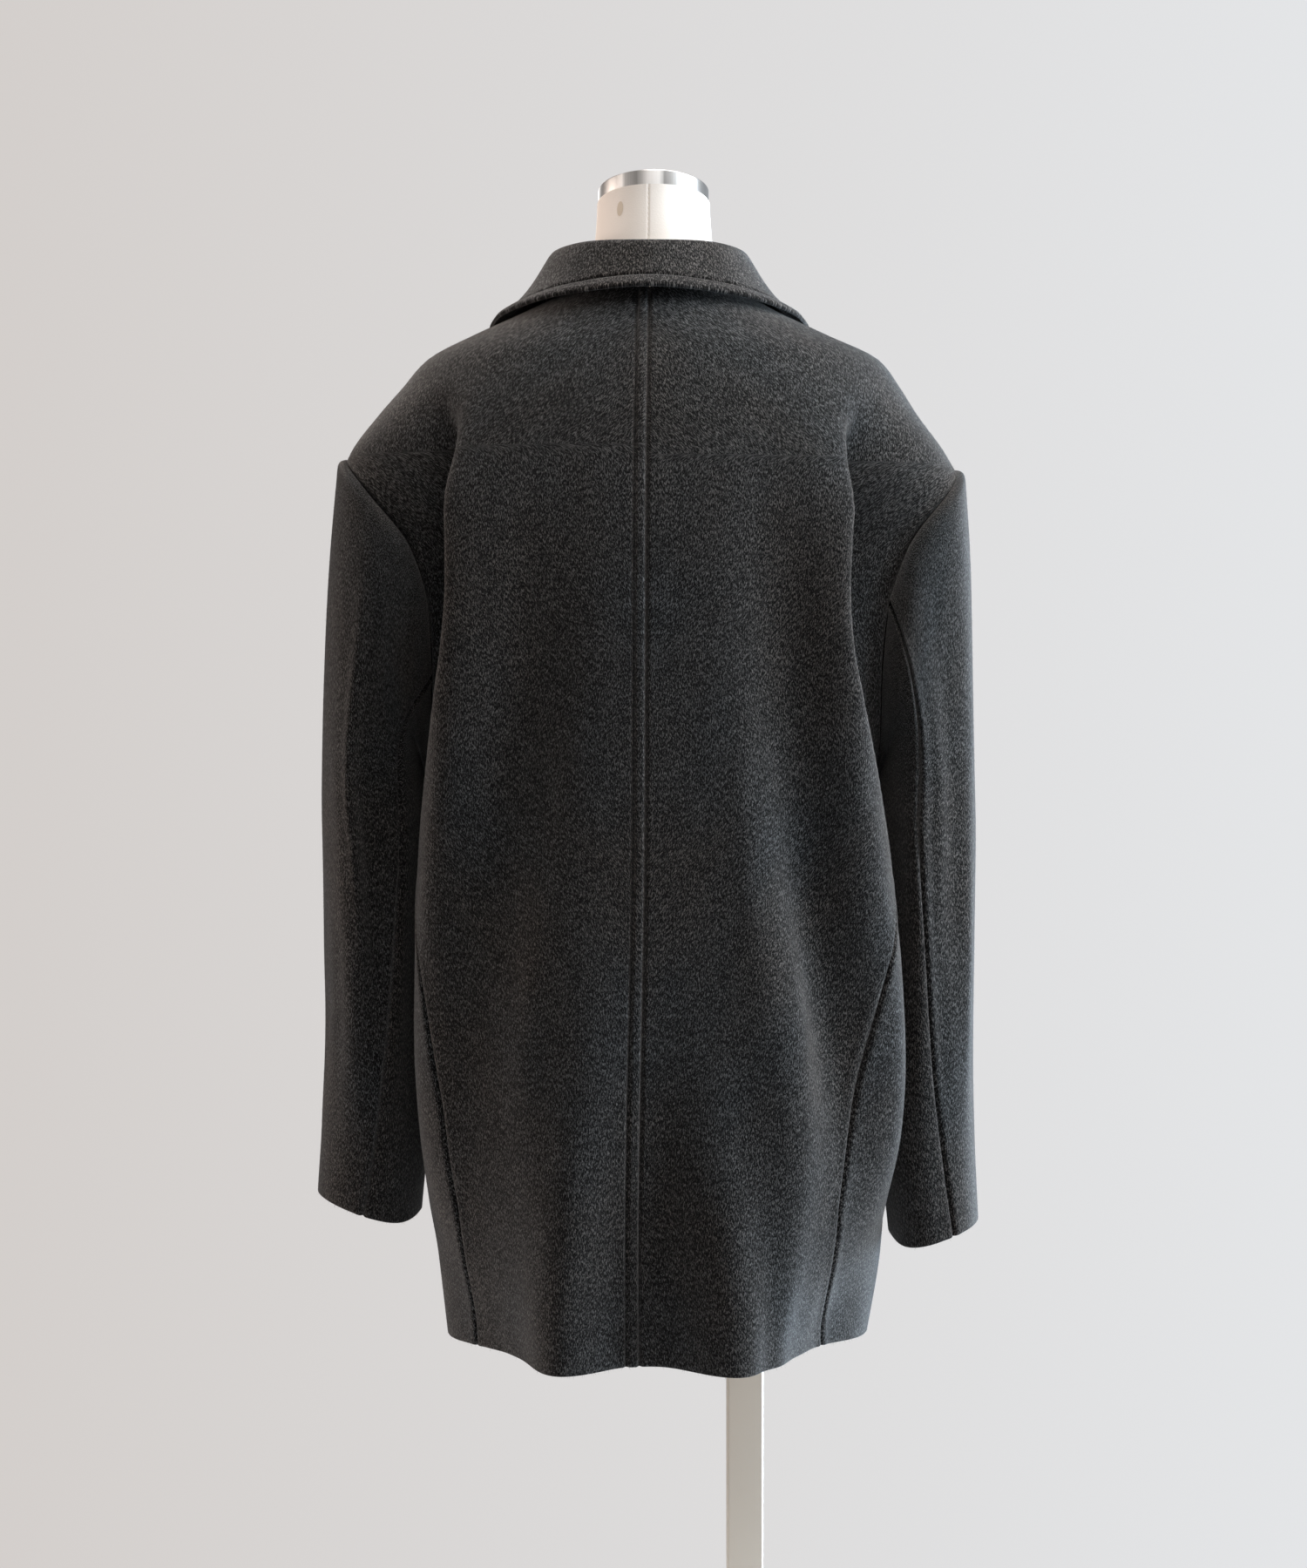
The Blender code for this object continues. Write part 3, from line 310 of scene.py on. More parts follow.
# A wool wall with a half round rim: outer face sinks to the middle at the border, inner face rises to it.
# Relief bends the whole wall, but only the outer face of a piece that lies on another.
def clothShell(name, points, normal, uv, relief, thick=cloth["thick"], lying=False):
    rows, count = points.shape[:2]
    half = thick / 2
    sink = half - np.sqrt(np.clip(half**2 - np.clip(half - edgeReach(points), 0, None) ** 2, 0, None))
    inside = np.zeros((rows, count), bool)
    inside[1:-1, 1:-1] = True
    bent = np.where(inside, relief, 0.0) if lying else relief
    outer = points + (bent - sink)[..., None] * normal
    inner = points - (thick - sink - (0 if lying else bent))[..., None] * normal
    top = np.arange(rows * count).reshape(rows, count)
    under = top.copy()
    under[inside] = rows * count + np.arange(inside.sum())
    middle = gridQuads(top)
    corner = outer.reshape(-1, 3)[middle]
    facing = np.cross(corner[:, 2] - corner[:, 0], corner[:, 3] - corner[:, 1])
    if (facing * normal.reshape(-1, 3)[middle[:, 0]]).sum() < 0:
        middle = middle[:, ::-1]
    lining = under.ravel()[middle[:, ::-1]]
    sowNap(outer, normal, bent)
    both = np.concatenate([outer.reshape(-1, 3), inner[inside]])
    uv = np.concatenate([uv.reshape(-1, 2), uv[inside]])
    return addMesh(name, both, [*middle.tolist(), *lining.tolist()], woolFinish, uv)


# Nap: thin fibres rooted at random on the outer faces but for their grooves, combed down and a little off.
nap = {
    "each": 7.5e-6, "long": 0.0024, "longRange": (0.6, 1.3), "wide": 0.00016, "lean": 30, "lift": 0.3,
    "liftRange": (0.2, 1.6), "bare": 0.0005, "least": 1e-6, "seed": 7, "meshes": 2,
}
napRandom = np.random.default_rng(nap["seed"])
napFound = []


def sowNap(outer, normal, bent):  # roots picked by area, tips combed down the face and lifted off it
    corners = outer[:-1, :-1], outer[:-1, 1:], outer[1:, :-1]
    area = np.linalg.norm(np.cross(corners[1] - corners[0], corners[2] - corners[0]), axis=-1).ravel()
    pick = np.searchsorted(np.cumsum(area), napRandom.uniform(0, area.sum(), int(area.sum() / nap["each"])))
    row, column = np.unravel_index(np.minimum(pick, len(area) - 1), corners[0].shape[:2])
    u, v = napRandom.uniform(0, 1, (2, len(pick), 1))
    root = (outer[row, column] * (1 - u) * (1 - v) + outer[row, column + 1] * u * (1 - v)
            + outer[row + 1, column] * (1 - u) * v + outer[row + 1, column + 1] * u * v)
    out = normal[row, column]
    down = np.array([0, 0, -1.0]) + out[:, 2:] * out
    down = down / np.maximum(np.linalg.norm(down, axis=-1, keepdims=True), nap["least"])
    swing = np.radians(nap["lean"]) * napRandom.normal(0, 1, (len(pick), 1))
    lie = np.cos(swing) * down + np.sin(swing) * np.cross(out, down)
    lift = nap["lift"] * napRandom.uniform(*nap["liftRange"], (len(pick), 1))
    tip = root + nap["long"] * napRandom.uniform(*nap["longRange"], (len(pick), 1)) * (lie + lift * out)
    wide = nap["wide"] / 2 * np.cross(out, lie)
    napFound.append(np.stack([root - wide, root + wide, tip], axis=1)[bent[row, column] > -nap["bare"]])


def makeNap():  # every fibre is one triangle, shared out to a few meshes
    for number, group in enumerate(np.array_split(np.concatenate(napFound), nap["meshes"])):
        points = group.reshape(-1, 3)
        faces = np.arange(len(points)).reshape(-1, 3).tolist()
        claim(addMesh(f"coat_nap_{number}", points, faces, plain["wool_nap"]))


def rimmed(length, step):  # places from 0 to length, crowded at both ends
    start = np.array(cloth["rimSteps"])
    end = length - start[::-1]
    count = max(2, int(round((end[0] - start[-1]) / step)))
    return np.concatenate([start, np.linspace(start[-1], end[0], count + 1)[1:-1], end])


def crowded(count, length, power=1.0):  # shares from 0 to 1, crowded at the start as a rim needs
    return np.union1d(np.linspace(0, 1, count + 1) ** power, np.array(cloth["rimSteps"])[1:] / length)


# Angles across a panel, row by row: near places measured from its two edges in metres, even between.
def spreadTurns(first, last, firstRadius, lastRadius, count, near=(), far=()):
    sign = np.sign(last - first)[:, None]
    near, far = np.union1d(cloth["rimSteps"], near), np.union1d(cloth["rimSteps"], far)
    start = first[:, None] + sign * near / firstRadius[:, None]
    end = last[:, None] - sign * far[::-1] / lastRadius[:, None]
    share = np.linspace(0, 1, count + 2)[1:-1]
    return np.concatenate([start, start[:, -1:] + (end[:, :1] - start[:, -1:]) * share, end], axis=1)


def fromEdge(turn, edge, radius):  # metres of cloth from an edge, row by row
    return np.abs(turn - edge[:, None]) * radius[:, None]


def radiusAt(turn, height):  # distance of the body from its upright axis
    return np.linalg.norm(bodyPoint(turn, height)[..., :2], axis=-1)


# finishes

def finishTree(name):
    finish = bpy.data.materials.new(name)
    finish.use_nodes = True
    return finish, finish.node_tree, finish.node_tree.nodes["Principled BSDF"]


def feed(tree, node, values):  # links sockets to a node's inputs, and sets numbers, vectors and colours
    for key, value in values.items():
        socket = node.inputs[key]
        if isinstance(value, bpy.types.NodeSocket):
            tree.links.new(value, socket)
        else:
            socket.default_value = (*value, 1) if socket.type == "RGBA" else value


def addNode(tree, kind, values=None, **settings):
    node = tree.nodes.new("ShaderNode" + kind)
    for key, value in settings.items():
        setattr(node, key, value)
    feed(tree, node, values or {})
    return node


def addRamp(tree, source, stops):  # colour ramp with (place, colour) stops
    ramp = addNode(tree, "ValToRGB", {0: source})
    elements = ramp.color_ramp.elements
    while len(elements) < len(stops):
        elements.new(0.5)
    for element, (place, colour) in zip(elements, stops):
        element.position = place
        element.color = (*colour, 1)
    return ramp.outputs[0]


def addMath(tree, operation, first, second):
    return addNode(tree, "Math", {0: first, 1: second}, operation=operation).outputs[0]


def addNoise(tree, vector, scale, turn=0.0, **values):  # noise on a turned and stretched vector
    turned = {"Vector": vector, "Rotation": (0, 0, math.radians(turn)), "Scale": scale}
    mapping = addNode(tree, "Mapping", turned)
    return addNode(tree, "TexNoise", {"Vector": mapping.outputs[0], "Scale": 1.0, **values}).outputs[0]


def mixColours(tree, blend, amount, first, second):  # the node's colours are inputs 6 and 7, output 2
    inputs = {0: amount, 6: first, 7: second}
    return addNode(tree, "Mix", inputs, data_type="RGBA", blend_type=blend).outputs[2]


def addBump(tree, height, strength, distance):
    return addNode(tree, "Bump", {"Height": height, "Strength": strength, "Distance": distance}).outputs[0]


def acrossX(tree, vector, half):  # 0 to 1 from one side to the other
    x = addNode(tree, "SeparateXYZ", {0: vector}).outputs["X"]
    return addNode(tree, "MapRange", {"Value": x, "From Min": -half, "From Max": half}).outputs[0]


wool = {
    "dark": (0.0028, 0.0027, 0.0027), "middle": (0.0105, 0.0102, 0.0102), "light": (0.1, 0.096, 0.093),
    "stops": (0.5, 0.57, 0.68), "size": (1500, 380, 1), "leans": (7, -15),
    "fibre": {"Detail": 1.5, "Roughness": 0.55, "Distortion": 0.5},
    "cloudSize": (70, 45, 1), "cloudLean": 15, "cloud": {"Detail": 3.0, "Roughness": 0.6},
    "cloudShare": 0.07, "tintSize": (9, 5, 1), "tint": {"Detail": 2.0},
    "tintStops": ((0.35, (1.06, 0.99, 0.95)), (0.65, (0.94, 1.0, 1.06))), "bump": (0.5, 0.0007),
    "surface": {"Roughness": 0.95, "Specular IOR Level": 0.0, "Sheen Weight": 0.22, "Sheen Roughness": 0.5,
                "Sheen Tint": (0.62, 0.60, 0.59)},
}


def makeWool():  # two crossing sets of fibres, clouded and tinted
    finish, tree, shader = finishTree("charcoal_wool")
    uv = addNode(tree, "TexCoord").outputs["UV"]
    sets = [addNoise(tree, uv, wool["size"], lean, **wool["fibre"]) for lean in wool["leans"]]
    fibres = addMath(tree, "MAXIMUM", *sets)
    cloud = addNoise(tree, uv, wool["cloudSize"], wool["cloudLean"], **wool["cloud"])
    cloud = addMath(tree, "MULTIPLY", addMath(tree, "SUBTRACT", cloud, 0.5), wool["cloudShare"])
    stops = tuple(zip(wool["stops"], (wool["dark"], wool["middle"], wool["light"])))
    colour = addRamp(tree, addMath(tree, "ADD", fibres, cloud), stops)
    tint = addRamp(tree, addNoise(tree, uv, wool["tintSize"], **wool["tint"]), wool["tintStops"])
    colour = mixColours(tree, "MULTIPLY", 1.0, colour, tint)
    bump = addBump(tree, fibres, *wool["bump"])
    feed(tree, shader, {"Base Color": colour, "Normal": bump, **wool["surface"]})
    return finish


plainGrain = {"size": (900, 900, 900), "detail": 2.0, "deep": 0.0004}


def makePlain(name, colour, rough, metal=0.0, grain=0.0):  # one colour, with a fine grain where asked
    finish, tree, shader = finishTree(name)
    feed(tree, shader, {"Base Color": colour, "Roughness": rough, "Metallic": metal})
    if grain:
        place = addNode(tree, "TexCoord").outputs["Object"]
        noise = addNoise(tree, place, plainGrain["size"], Detail=plainGrain["detail"])
        feed(tree, shader, {"Normal": addBump(tree, noise, grain, plainGrain["deep"])})
    return finish


# Brushed metal: the lamps' reflections are painted into its colour as lighter and darker bands across X,
# with fine upright streaks from the brushing.
brushed = {
    "half": 0.0457, "rough": 0.34, "tint": (1.0, 0.975, 0.95), "streak": 0.25,
    "streakSize": (2600, 2600, 40), "streakDetail": 2.0,
    "paintedReflections": columns(
        "x light",
        (-1, 0.12), (-0.8, 0.24), (-0.66, 0.36), (-0.57, 0.8), (-0.5, 0.44), (-0.3, 0.28), (-0.1, 0.78),
        (0.1, 0.8), (0.2, 0.3), (0.42, 0.48), (0.62, 0.32), (0.84, 0.22), (1, 0.12),
    ),
}


def makeBrushedWithReflections():
    finish, tree, shader = finishTree("brushed_cap_painted_reflections")
    place = addNode(tree, "TexCoord").outputs["Object"]
    # painted reflections: the base colour runs through lighter and darker bands across X, where the lamps
    # would show in the steel
    paintedReflections = rowsOf(brushed["paintedReflections"])
    stops = [((reflectionBand["x"] + 1) / 2, [reflectionBand["light"] * part for part in brushed["tint"]]) for reflectionBand in paintedReflections]
    colour = addRamp(tree, acrossX(tree, place, brushed["half"]), stops)
    streaks = addNoise(tree, place, brushed["streakSize"], Detail=brushed["streakDetail"])
    colour = mixColours(tree, "OVERLAY", brushed["streak"], colour, streaks)
    feed(tree, shader, {"Base Color": colour, "Metallic": 1.0, "Roughness": brushed["rough"]})
    return finish


finishes = {
    "wool_nap": {"colour": (0.036, 0.035, 0.034), "rough": 0.8},
    "sewing_thread": {"colour": (0.0035, 0.0034, 0.0034), "rough": 0.7},
    "cream_linen": {"colour": (0.76, 0.705, 0.655), "rough": 0.9, "grain": 0.3},
    "beige_thread": {"colour": (0.58, 0.5, 0.41), "rough": 0.9},
    "satin_steel": {"colour": (0.42, 0.385, 0.34), "rough": 0.36, "metal": 1.0},
    "dark_horn": {"colour": (0.014, 0.012, 0.011), "rough": 0.58, "grain": 0.15},
}
woolFinish, capFinish = makeWool(), makeBrushedWithReflections()
plain = {name: makePlain(name, **look) for name, look in finishes.items()}
print("finishes made")


thread = {
    "long": 0.0032, "step": 0.0038, "radius": 0.0003, "sides": 6,
    "ends": (0.0, 0.12, 0.88, 1.0), "full": (0.4, 1.0, 1.0, 0.4),
}


# A closed rounded tube for each stitch.
def makeStitches(name, start, end, out, finish, radius=thread["radius"]):
    along = unit(end - start)
    beside = unit(np.cross(along, out))
    above = np.cross(beside, along)
    turn = circle(thread["sides"])[:, None, None, None]
    share, full = (np.array(thread[key])[:, None, None] for key in ("ends", "full"))
    ring = start + share * (end - start) + radius * full * (np.cos(turn) * beside + np.sin(turn) * above)
    points = ring.transpose(2, 1, 0, 3)
    index = np.arange(points.size // 3).reshape(points.shape[:3])
    faces = [*tubeQuads(index), *index[:, 0, ::-1].tolist(), *index[:, -1].tolist()]
    claim(addMesh(name, points.reshape(-1, 3), faces, finish))


def sewLine(name, points, out):  # stitches at even steps along a fine line of points
    run = runLength(points, 0)
    first = np.arange(thread["step"], run[-1] - thread["step"], thread["step"])

    def at(values, place):
        return np.stack([np.interp(place, run, values[:, axis]) for axis in range(3)], axis=-1)
    makeStitches(name, at(points, first), at(points, first + thread["long"]), at(out, first),
                 plain["sewing_thread"])


def hangCloth(piece, node):  # claims a cloth piece for its solid
    claim(piece, node)


# back, side and front panels

panels = {
    "rowStep": 0.0052, "topStep": 0.8, "loopSteps": 54, "searchTo": 1.2, "halvings": 36,
    "backColumns": 66, "sideColumns": 34, "frontColumns": 60, "nearCentre": (0.0022, 0.017, 0.0006),
    "centreTop": -2.2, "centreHem": -4.2, "centreFrom": 1.0,
    "stitchAway": 0.01, "stitchDeep": 0.0028, "stitchWide": 0.0009, "puff": 0.0007, "centreDeep": 0.0036,
    "lap": 0.03, "rollFrom": 1.03, "rollSlope": 0.297,
    "cut": {  # wide, long and area of each piece laid flat, left and right
        "back": {-1: (0.33, 0.89, 0.211), 1: (0.34, 0.89, 0.218)},
        "side": {-1: (0.2, 0.515, 0.077), 1: (0.22, 0.525, 0.086)},
        "front": {-1: (0.28, 0.93, 0.209), 1: (0.28, 0.93, 0.21)},
    },
}


def panelRows(side):  # hem to side seam's end, up the armhole, over the shoulder to the neck
    loop = np.radians(np.linspace(armholes["joint"], 0, panels["loopSteps"] + 1))
    beside = armholeSeam(side, loop)[1]
    hem, neck = body["hem"], body["neck"]
    lower = hem + rimmed(beside[0] - hem, panels["rowStep"])
    lower = lower[lower < beside[0] - panels["rowStep"] / 2]
    upper = beside[-1] + rimmed(neck - beside[-1], panels["rowStep"] * panels["topStep"])
    upper = upper[upper > beside[-1] + panels["rowStep"] / 3]
    return lower, loop, beside, upper


def panelEdge(side, column):  # rows of a back or front panel and the angle of its outer edge
    lower, loop, beside, upper = panelRows(side)
    seam = sideSeam(side, column, lower)
    hole = armholeSeam(side, loop if column == "back" else -loop)[0]
    ridge = np.full(len(upper), side * np.pi / 2)
    return np.concatenate([lower, beside, upper]), np.concatenate([seam, hole, ridge])


def centreBack(height):  # angle of the centre seam, eased from its top to the hem
    down = 1 - ease(body["hem"], panels["centreFrom"], height)
    return np.radians(panels["centreTop"] + (panels["centreHem"] - panels["centreTop"]) * down)


def bodyPanel(part, side, turn, height, relief, lap=0.0):  # a panel's wall, claimed for its solid
    surface = partial(bodyPoint, lap=lap)
    points = surface(turn, height)
    normal = outward(surface, turn, height)
    node = f"{part}_{sideNames[side]}"
    piece = clothShell(f"coat_{node}", points, normal, grainUv(points, height), relief)
    hangCloth(piece, node)


def makeBack(side):  # angles from the centre seam out to the side seam, armhole and shoulder, by height
    height, edge = panelEdge(side, "back")
    centre = centreBack(height)
    tuck = cloth["seamTuck"]
    centreRadius, edgeRadius = radiusAt(centre, height), radiusAt(edge, height)
    first, last = centre - side * tuck / centreRadius, edge + side * tuck / edgeRadius
    turn = spreadTurns(first, last, centreRadius, edgeRadius, panels["backColumns"],
                       np.arange(*panels["nearCentre"]), cloth["nearSeam"])
    away = fromEdge(turn, first, centreRadius)
    relief = seamLine(fromEdge(turn, last, edgeRadius))
    relief = relief - panels["centreDeep"] * hump(away, cloth["seamWide"])
    if side < 0:  # the seam is pressed to this side and sewn down along a line beside it
        relief = relief + sewnEdge(away, panels)
        line = centre - panels["stitchAway"] / centreRadius
        out = outward(bodyPoint, line, height)
        deep = panels["stitchDeep"] - thread["radius"]
        sewLine("stitches_back", bodyPoint(line, height) - deep * out, out)
    bodyPanel("back", side, turn, height[:, None] + 0 * turn, relief)


def makeSide(side):  # shares of the way between two seams, and from the hem up to the underarm
    loop = np.radians(np.linspace(armholes["joint"], 360 - armholes["joint"], panels["sideColumns"] + 1))
    rim = np.array((*cloth["rimSteps"][1:], *cloth["nearSeam"]))
    rim = np.radians(rim / armholes["reach"] * armholes["rimTurn"])
    between = loop[(loop - loop[0] > rim[-1]) & (loop[-1] - loop > rim[-1])]
    loop = np.concatenate([loop[:1], loop[0] + rim, between, loop[-1] - rim[::-1], loop[-1:]])
    topTurn, top = armholeSeam(side, loop)
    across = (topTurn - topTurn[0]) / (topTurn[-1] - topTurn[0])
    up = rimmed(top.min() - body["hem"], panels["rowStep"]) / (top.min() - body["hem"])
    height = body["hem"] + up[:, None] * (top - body["hem"])
    tuck = cloth["seamTuck"]
    first, last = sideSeam(side, "back", height), sideSeam(side, "front", height)
    first, last = first - side * tuck / radiusAt(first, height), last + side * tuck / radiusAt(last, height)
    turn = first + (last - first) * across
    radius = radiusAt(turn, height)
    relief = seamLine(np.abs(turn - first) * radius) + seamLine(np.abs(last - turn) * radius)
    bodyPanel("side", side, turn, height, relief)


def turnAt(side, reach, height):  # halving: the angle where a front is this far from the centre line
    near = np.full(np.shape(height), np.pi / 2)
    far = np.full(np.shape(height), np.pi * panels["searchTo"])
    for _ in range(panels["halvings"]):
        middle = (near + far) / 2
        outside = side * bodyPoint(side * middle, height)[..., 0] > reach
        near, far = np.where(outside, middle, near), np.where(outside, far, middle)
    return side * (near + far) / 2


def rollReach(height):  # a front's inner edge: the lap, then the roll line of the lapel
    return -panels["lap"] + panels["rollSlope"] * np.clip(height - panels["rollFrom"], 0, None)


def makeFront(side):  # angles from the side seam, armhole and shoulder to the lap and roll line, by height
    height, edge = panelEdge(side, "front")
    inner = turnAt(side, rollReach(height), height)
    edgeRadius, innerRadius = radiusAt(edge, height), radiusAt(inner, height)
    first = edge - side * cloth["seamTuck"] / edgeRadius
    turn = spreadTurns(first, inner, edgeRadius, innerRadius, panels["frontColumns"], cloth["nearSeam"])
    relief = seamLine(fromEdge(turn, first, edgeRadius))
    lap = body["lapRise"] if side > 0 else 0.0
    bodyPanel("front", side, turn, height[:, None] + 0 * turn, relief, lap)


for side in sideNames:
    makeBack(side)
    makeSide(side)
    makeFront(side)
print("body panels made")


# sleeves

sleeve = {
    "capHeight": 0.95, "capDown": 0.3,
    "startOut": (0.036, 0.008), "startBack": 0.105, "startUp": (-0.042, 0.027),
    "headRoll": 0.0045, "headRollAt": 0.06, "underFrom": {-1: 112, 1: 84}, "underTo": 234,
    "cuffTilt": 0.33, "cuffLift": 0.012, "cuffLiftWide": 26, "tiltFrom": 0.8,
    "capRows": 58, "capLong": 0.3, "lowRows": 60, "step": 0.0036, "ringRadius": 0.06, "fuller": 1.2,
    "grainLong": 0.31, "seamDeep": 0.0038,
    "rings": {
        -1: columns(
            "height* middle* forward* wide* deep* seam",
            (628, 236, 18, 43, 57, 89), (690, 231.8, 15, 43.7, 61, 98), (760, 231, 11, 43, 68, 109),
            (860, 230.2, 6, 43.8, 76, 119), (950, 228.8, 2, 44.7, 83, 125),
            (1000, 228.8, 0, 44.7, 86, 126),
        ),
        1: columns(
            "height* middle* forward* wide* deep* seam",
            (607, 233, 20, 37, 59, 70), (680, 227.5, 16, 39, 61, 78), (760, 224, 11, 40.5, 68, 88),
            (860, 223.5, 6, 40.5, 76, 97), (950, 222.5, 2, 41.5, 83, 105), (1000, 222, 0, 42.5, 86, 110),
        ),
    },
    "folds": {
        -1: columns(
            "start end turnStart turnEnd width rise*",
            (0.15, 1.75, 48, 84, 12, 6), (0.2, 1.8, 92, 108, 14, -7), (0.6, 2, 142, 108, 10, 6),
            (0.9, 1.95, 20, 35, 16, -4), (0.2, 1.6, -60, -85, 16, -6),
            # finer creases than the solids have
            (0, 1.75, 44, 100, 3.5, 5.5), (0, 1.75, 55, 111, 5, -3.5), (1.1, 1.9, 60, 50, 7, -2),
            (0.5, 1.4, -20, -34, 7, 2.2), (0.9, 1.8, -120, -104, 8, 2.4), (1.3, 1.95, 4, -8, 7, -1.8),
        ),
        1: columns(
            "start end turnStart turnEnd width rise*",
            (0.1, 1.7, 62, 66, 14, -7), (0.25, 1.85, 30, 42, 14, 4), (0.6, 2, 122, 88, 10, 6),
            (0.2, 1.6, -58, -88, 16, -6),
            # finer creases than the solids have
            (0.3, 1.6, 84, 92, 6, -3), (0.7, 1.9, 46, 40, 6, 2.4), (0.3, 1.1, 14, 24, 7, -2.2),
            (0.6, 1.5, -18, -30, 7, 2.2), (1, 1.85, -118, -108, 8, 2.4), (1, 2.3, 130, 122, 18, 6.5),
            (1, 2.3, 86, 74, 12, -3),
        ),
    },
    "cut": {
        "upper": {-1: (0.32, 0.63, 0.157), 1: (0.29, 0.64, 0.143)},
        "under": {-1: (0.18, 0.455, 0.06), 1: (0.2, 0.53, 0.072)},
    },
}


def sleeveRing(side, turn, height):  # a level ellipse, turn is from straight out to the back
    rings = sleeve["rings"][side]
    wide = readRows(rings, "wide", height) * np.cos(turn)
    deep = readRows(rings, "deep", height) * np.sin(turn)
    low = 1 - ease(rings["height"][0], sleeve["tiltFrom"], height)
    lifted = sleeve["cuffLift"] * hump(np.degrees(turn) % 360 - 180, sleeve["cuffLiftWide"])
    x, y = side * (readRows(rings, "middle", height) + wide), readRows(rings, "forward", height) - deep
    return np.stack([x, y, height + low * (sleeve["cuffTilt"] * wide + lifted)], axis=-1)


def sleeveFolds(side, turn, along):  # bells across each fold's line, fading out at its two ends
    rise = np.zeros(np.broadcast(turn, along).shape)
    for fold in rowsOf(sleeve["folds"][side]):
        t = np.clip((along - fold["start"]) / (fold["end"] - fold["start"]), 0, 1)
        line = fold["turnStart"] + (fold["turnEnd"] - fold["turnStart"]) * t
        away = (np.degrees(turn) - line + 180) % 360 - 180
        rise = rise + fold["rise"] * np.sin(np.pi * t) ** 2 * hump(away, fold["width"])
    return rise


# Sleeve: a cubic from the armhole to the first level ring (along 0 to 1), then rings to the cuff (1 to 2).
def sleevePoint(side, turn, along):
    turn, along = grids(turn, along)
    high, cuff = sleeve["capHeight"], sleeve["rings"][side]["height"][0]
    start = bodyPoint(*armholeSeam(side, turn, -cloth["armholeTuck"]))
    ring = sleeveRing(side, turn, np.full(turn.shape, high))
    (out, outSwing), (up, upSwing) = sleeve["startOut"], sleeve["startUp"]
    leave = np.stack([side * (out + outSwing * np.cos(turn)), -sleeve["startBack"] * np.sin(turn),
                      up + upSwing * np.cos(turn)], axis=-1)
    arrive = np.array([0, 0, -sleeve["capDown"]])
    cap = hermite(start, leave, ring, arrive, np.clip(along, 0, 1)[..., None])
    lower = sleeveRing(side, turn, high + np.clip(along - 1, 0, 1) * (cuff - high))
    straight = np.stack([side * np.cos(turn), -np.sin(turn), 0 * turn], axis=-1)
    near = np.clip(along, 0, None) / sleeve["headRollAt"]
    swell = sleeve["headRoll"] * near * np.exp(1 - near) * np.clip(np.cos(turn), 0, None)
    raised = (sleeveFolds(side, turn, along) + swell)[..., None] * straight
    return np.where(along[..., None] < 1, cap, lower) + raised


def aroundRadius(surface, turn, along, small=1e-4):  # metres of cloth for each radian round the sleeve
    step = (surface(turn + small, along) - surface(turn - small, along)) / (2 * small)
    return np.linalg.norm(step, axis=-1)


def makeSleeve(side):  # upper and under half, each the angles between two seams along the sleeve
    surface = partial(sleevePoint, side)
    rings, high = sleeve["rings"][side], sleeve["capHeight"]
    length = high - rings["height"][0]
    cap = crowded(sleeve["capRows"], sleeve["capLong"])
    low = 2 - crowded(sleeve["lowRows"], length)[::-1]
    along = np.concatenate([cap, low[1:]])
    ringSeam = readRows(rings, "seam", high - np.clip(along - 1, 0, 1) * length)
    fromLoop = sleeve["underFrom"][side]
    backSeam = np.radians(fromLoop + (ringSeam - fromLoop) * np.clip(along, 0, 1))
    frontSeam = np.full(len(along), math.radians(sleeve["underTo"]))
    tuck, near, deep = cloth["seamTuck"], cloth["nearSeam"], sleeve["seamDeep"]
    for part, first, last in (("upper", frontSeam - 2 * np.pi, backSeam), ("under", backSeam, frontSeam)):
        firstRadius, lastRadius = aroundRadius(surface, first, along), aroundRadius(surface, last, along)
        first, last = first - tuck / firstRadius, last + tuck / lastRadius
        girth = (last - first).max() * sleeve["ringRadius"] * sleeve["fuller"]
        count = int(girth / sleeve["step"])
        turn = spreadTurns(first, last, firstRadius, lastRadius, count, near, near)
        grid = along[:, None] + 0 * turn
        relief = seamLine(fromEdge(turn, first, firstRadius), deep)
        relief = relief + seamLine(fromEdge(turn, last, lastRadius), deep)
        points, normal = surface(turn, grid), side * outward(surface, turn, grid)
        uv = grainUv(points, -grid * sleeve["grainLong"])
        node = f"{part}_sleeve_{sideNames[side]}"
        piece = clothShell(f"coat_{node}", points, normal, uv, relief)
        hangCloth(piece, node)


for side in sideNames:
    makeSleeve(side)
print("sleeves made")


# collar and lapels

collar = {
    "thick": 0.004, "rollReach": 0.016, "flare": (1.8, 1.8, 0.6), "shift": -0.004,
    "stations": 170, "standSteps": 16, "standCrowd": 0.8, "standLong": 0.03,
    "fallSteps": 60, "fallLong": 0.06,
    "stitchAway": 0.0155, "stitchDeep": 0.002, "stitchWide": 0.0012, "puff": 0.0013,
    "grainHalf": 0.19, "cut": (0.56, 0.115, 0.051),
    "lines": columns(
        "station seamX* seamY* seamZ* rollX* rollY* rollZ* edgeX* edgeY* edgeZ*",
        (0, 0, -75.5, 1384.5, 0, -69, 1415, 0, -98, 1375.5),
        (0.26, 48, -56, 1384.5, 49, -53, 1416.5, 72, -79, 1371),
        (0.5, 75, -6, 1384.5, 77.5, -8, 1415, 125.5, -20, 1361.5),
        (0.72, 66, 30, 1376, 75, 34, 1396, 134, 30, 1356),
        (0.86, 58, 60, 1351, 67, 70, 1366, 131, 68, 1343),
        (1, 50, 90, 1317, 56, 102, 1323, 122, 90, 1329),
    ),
}
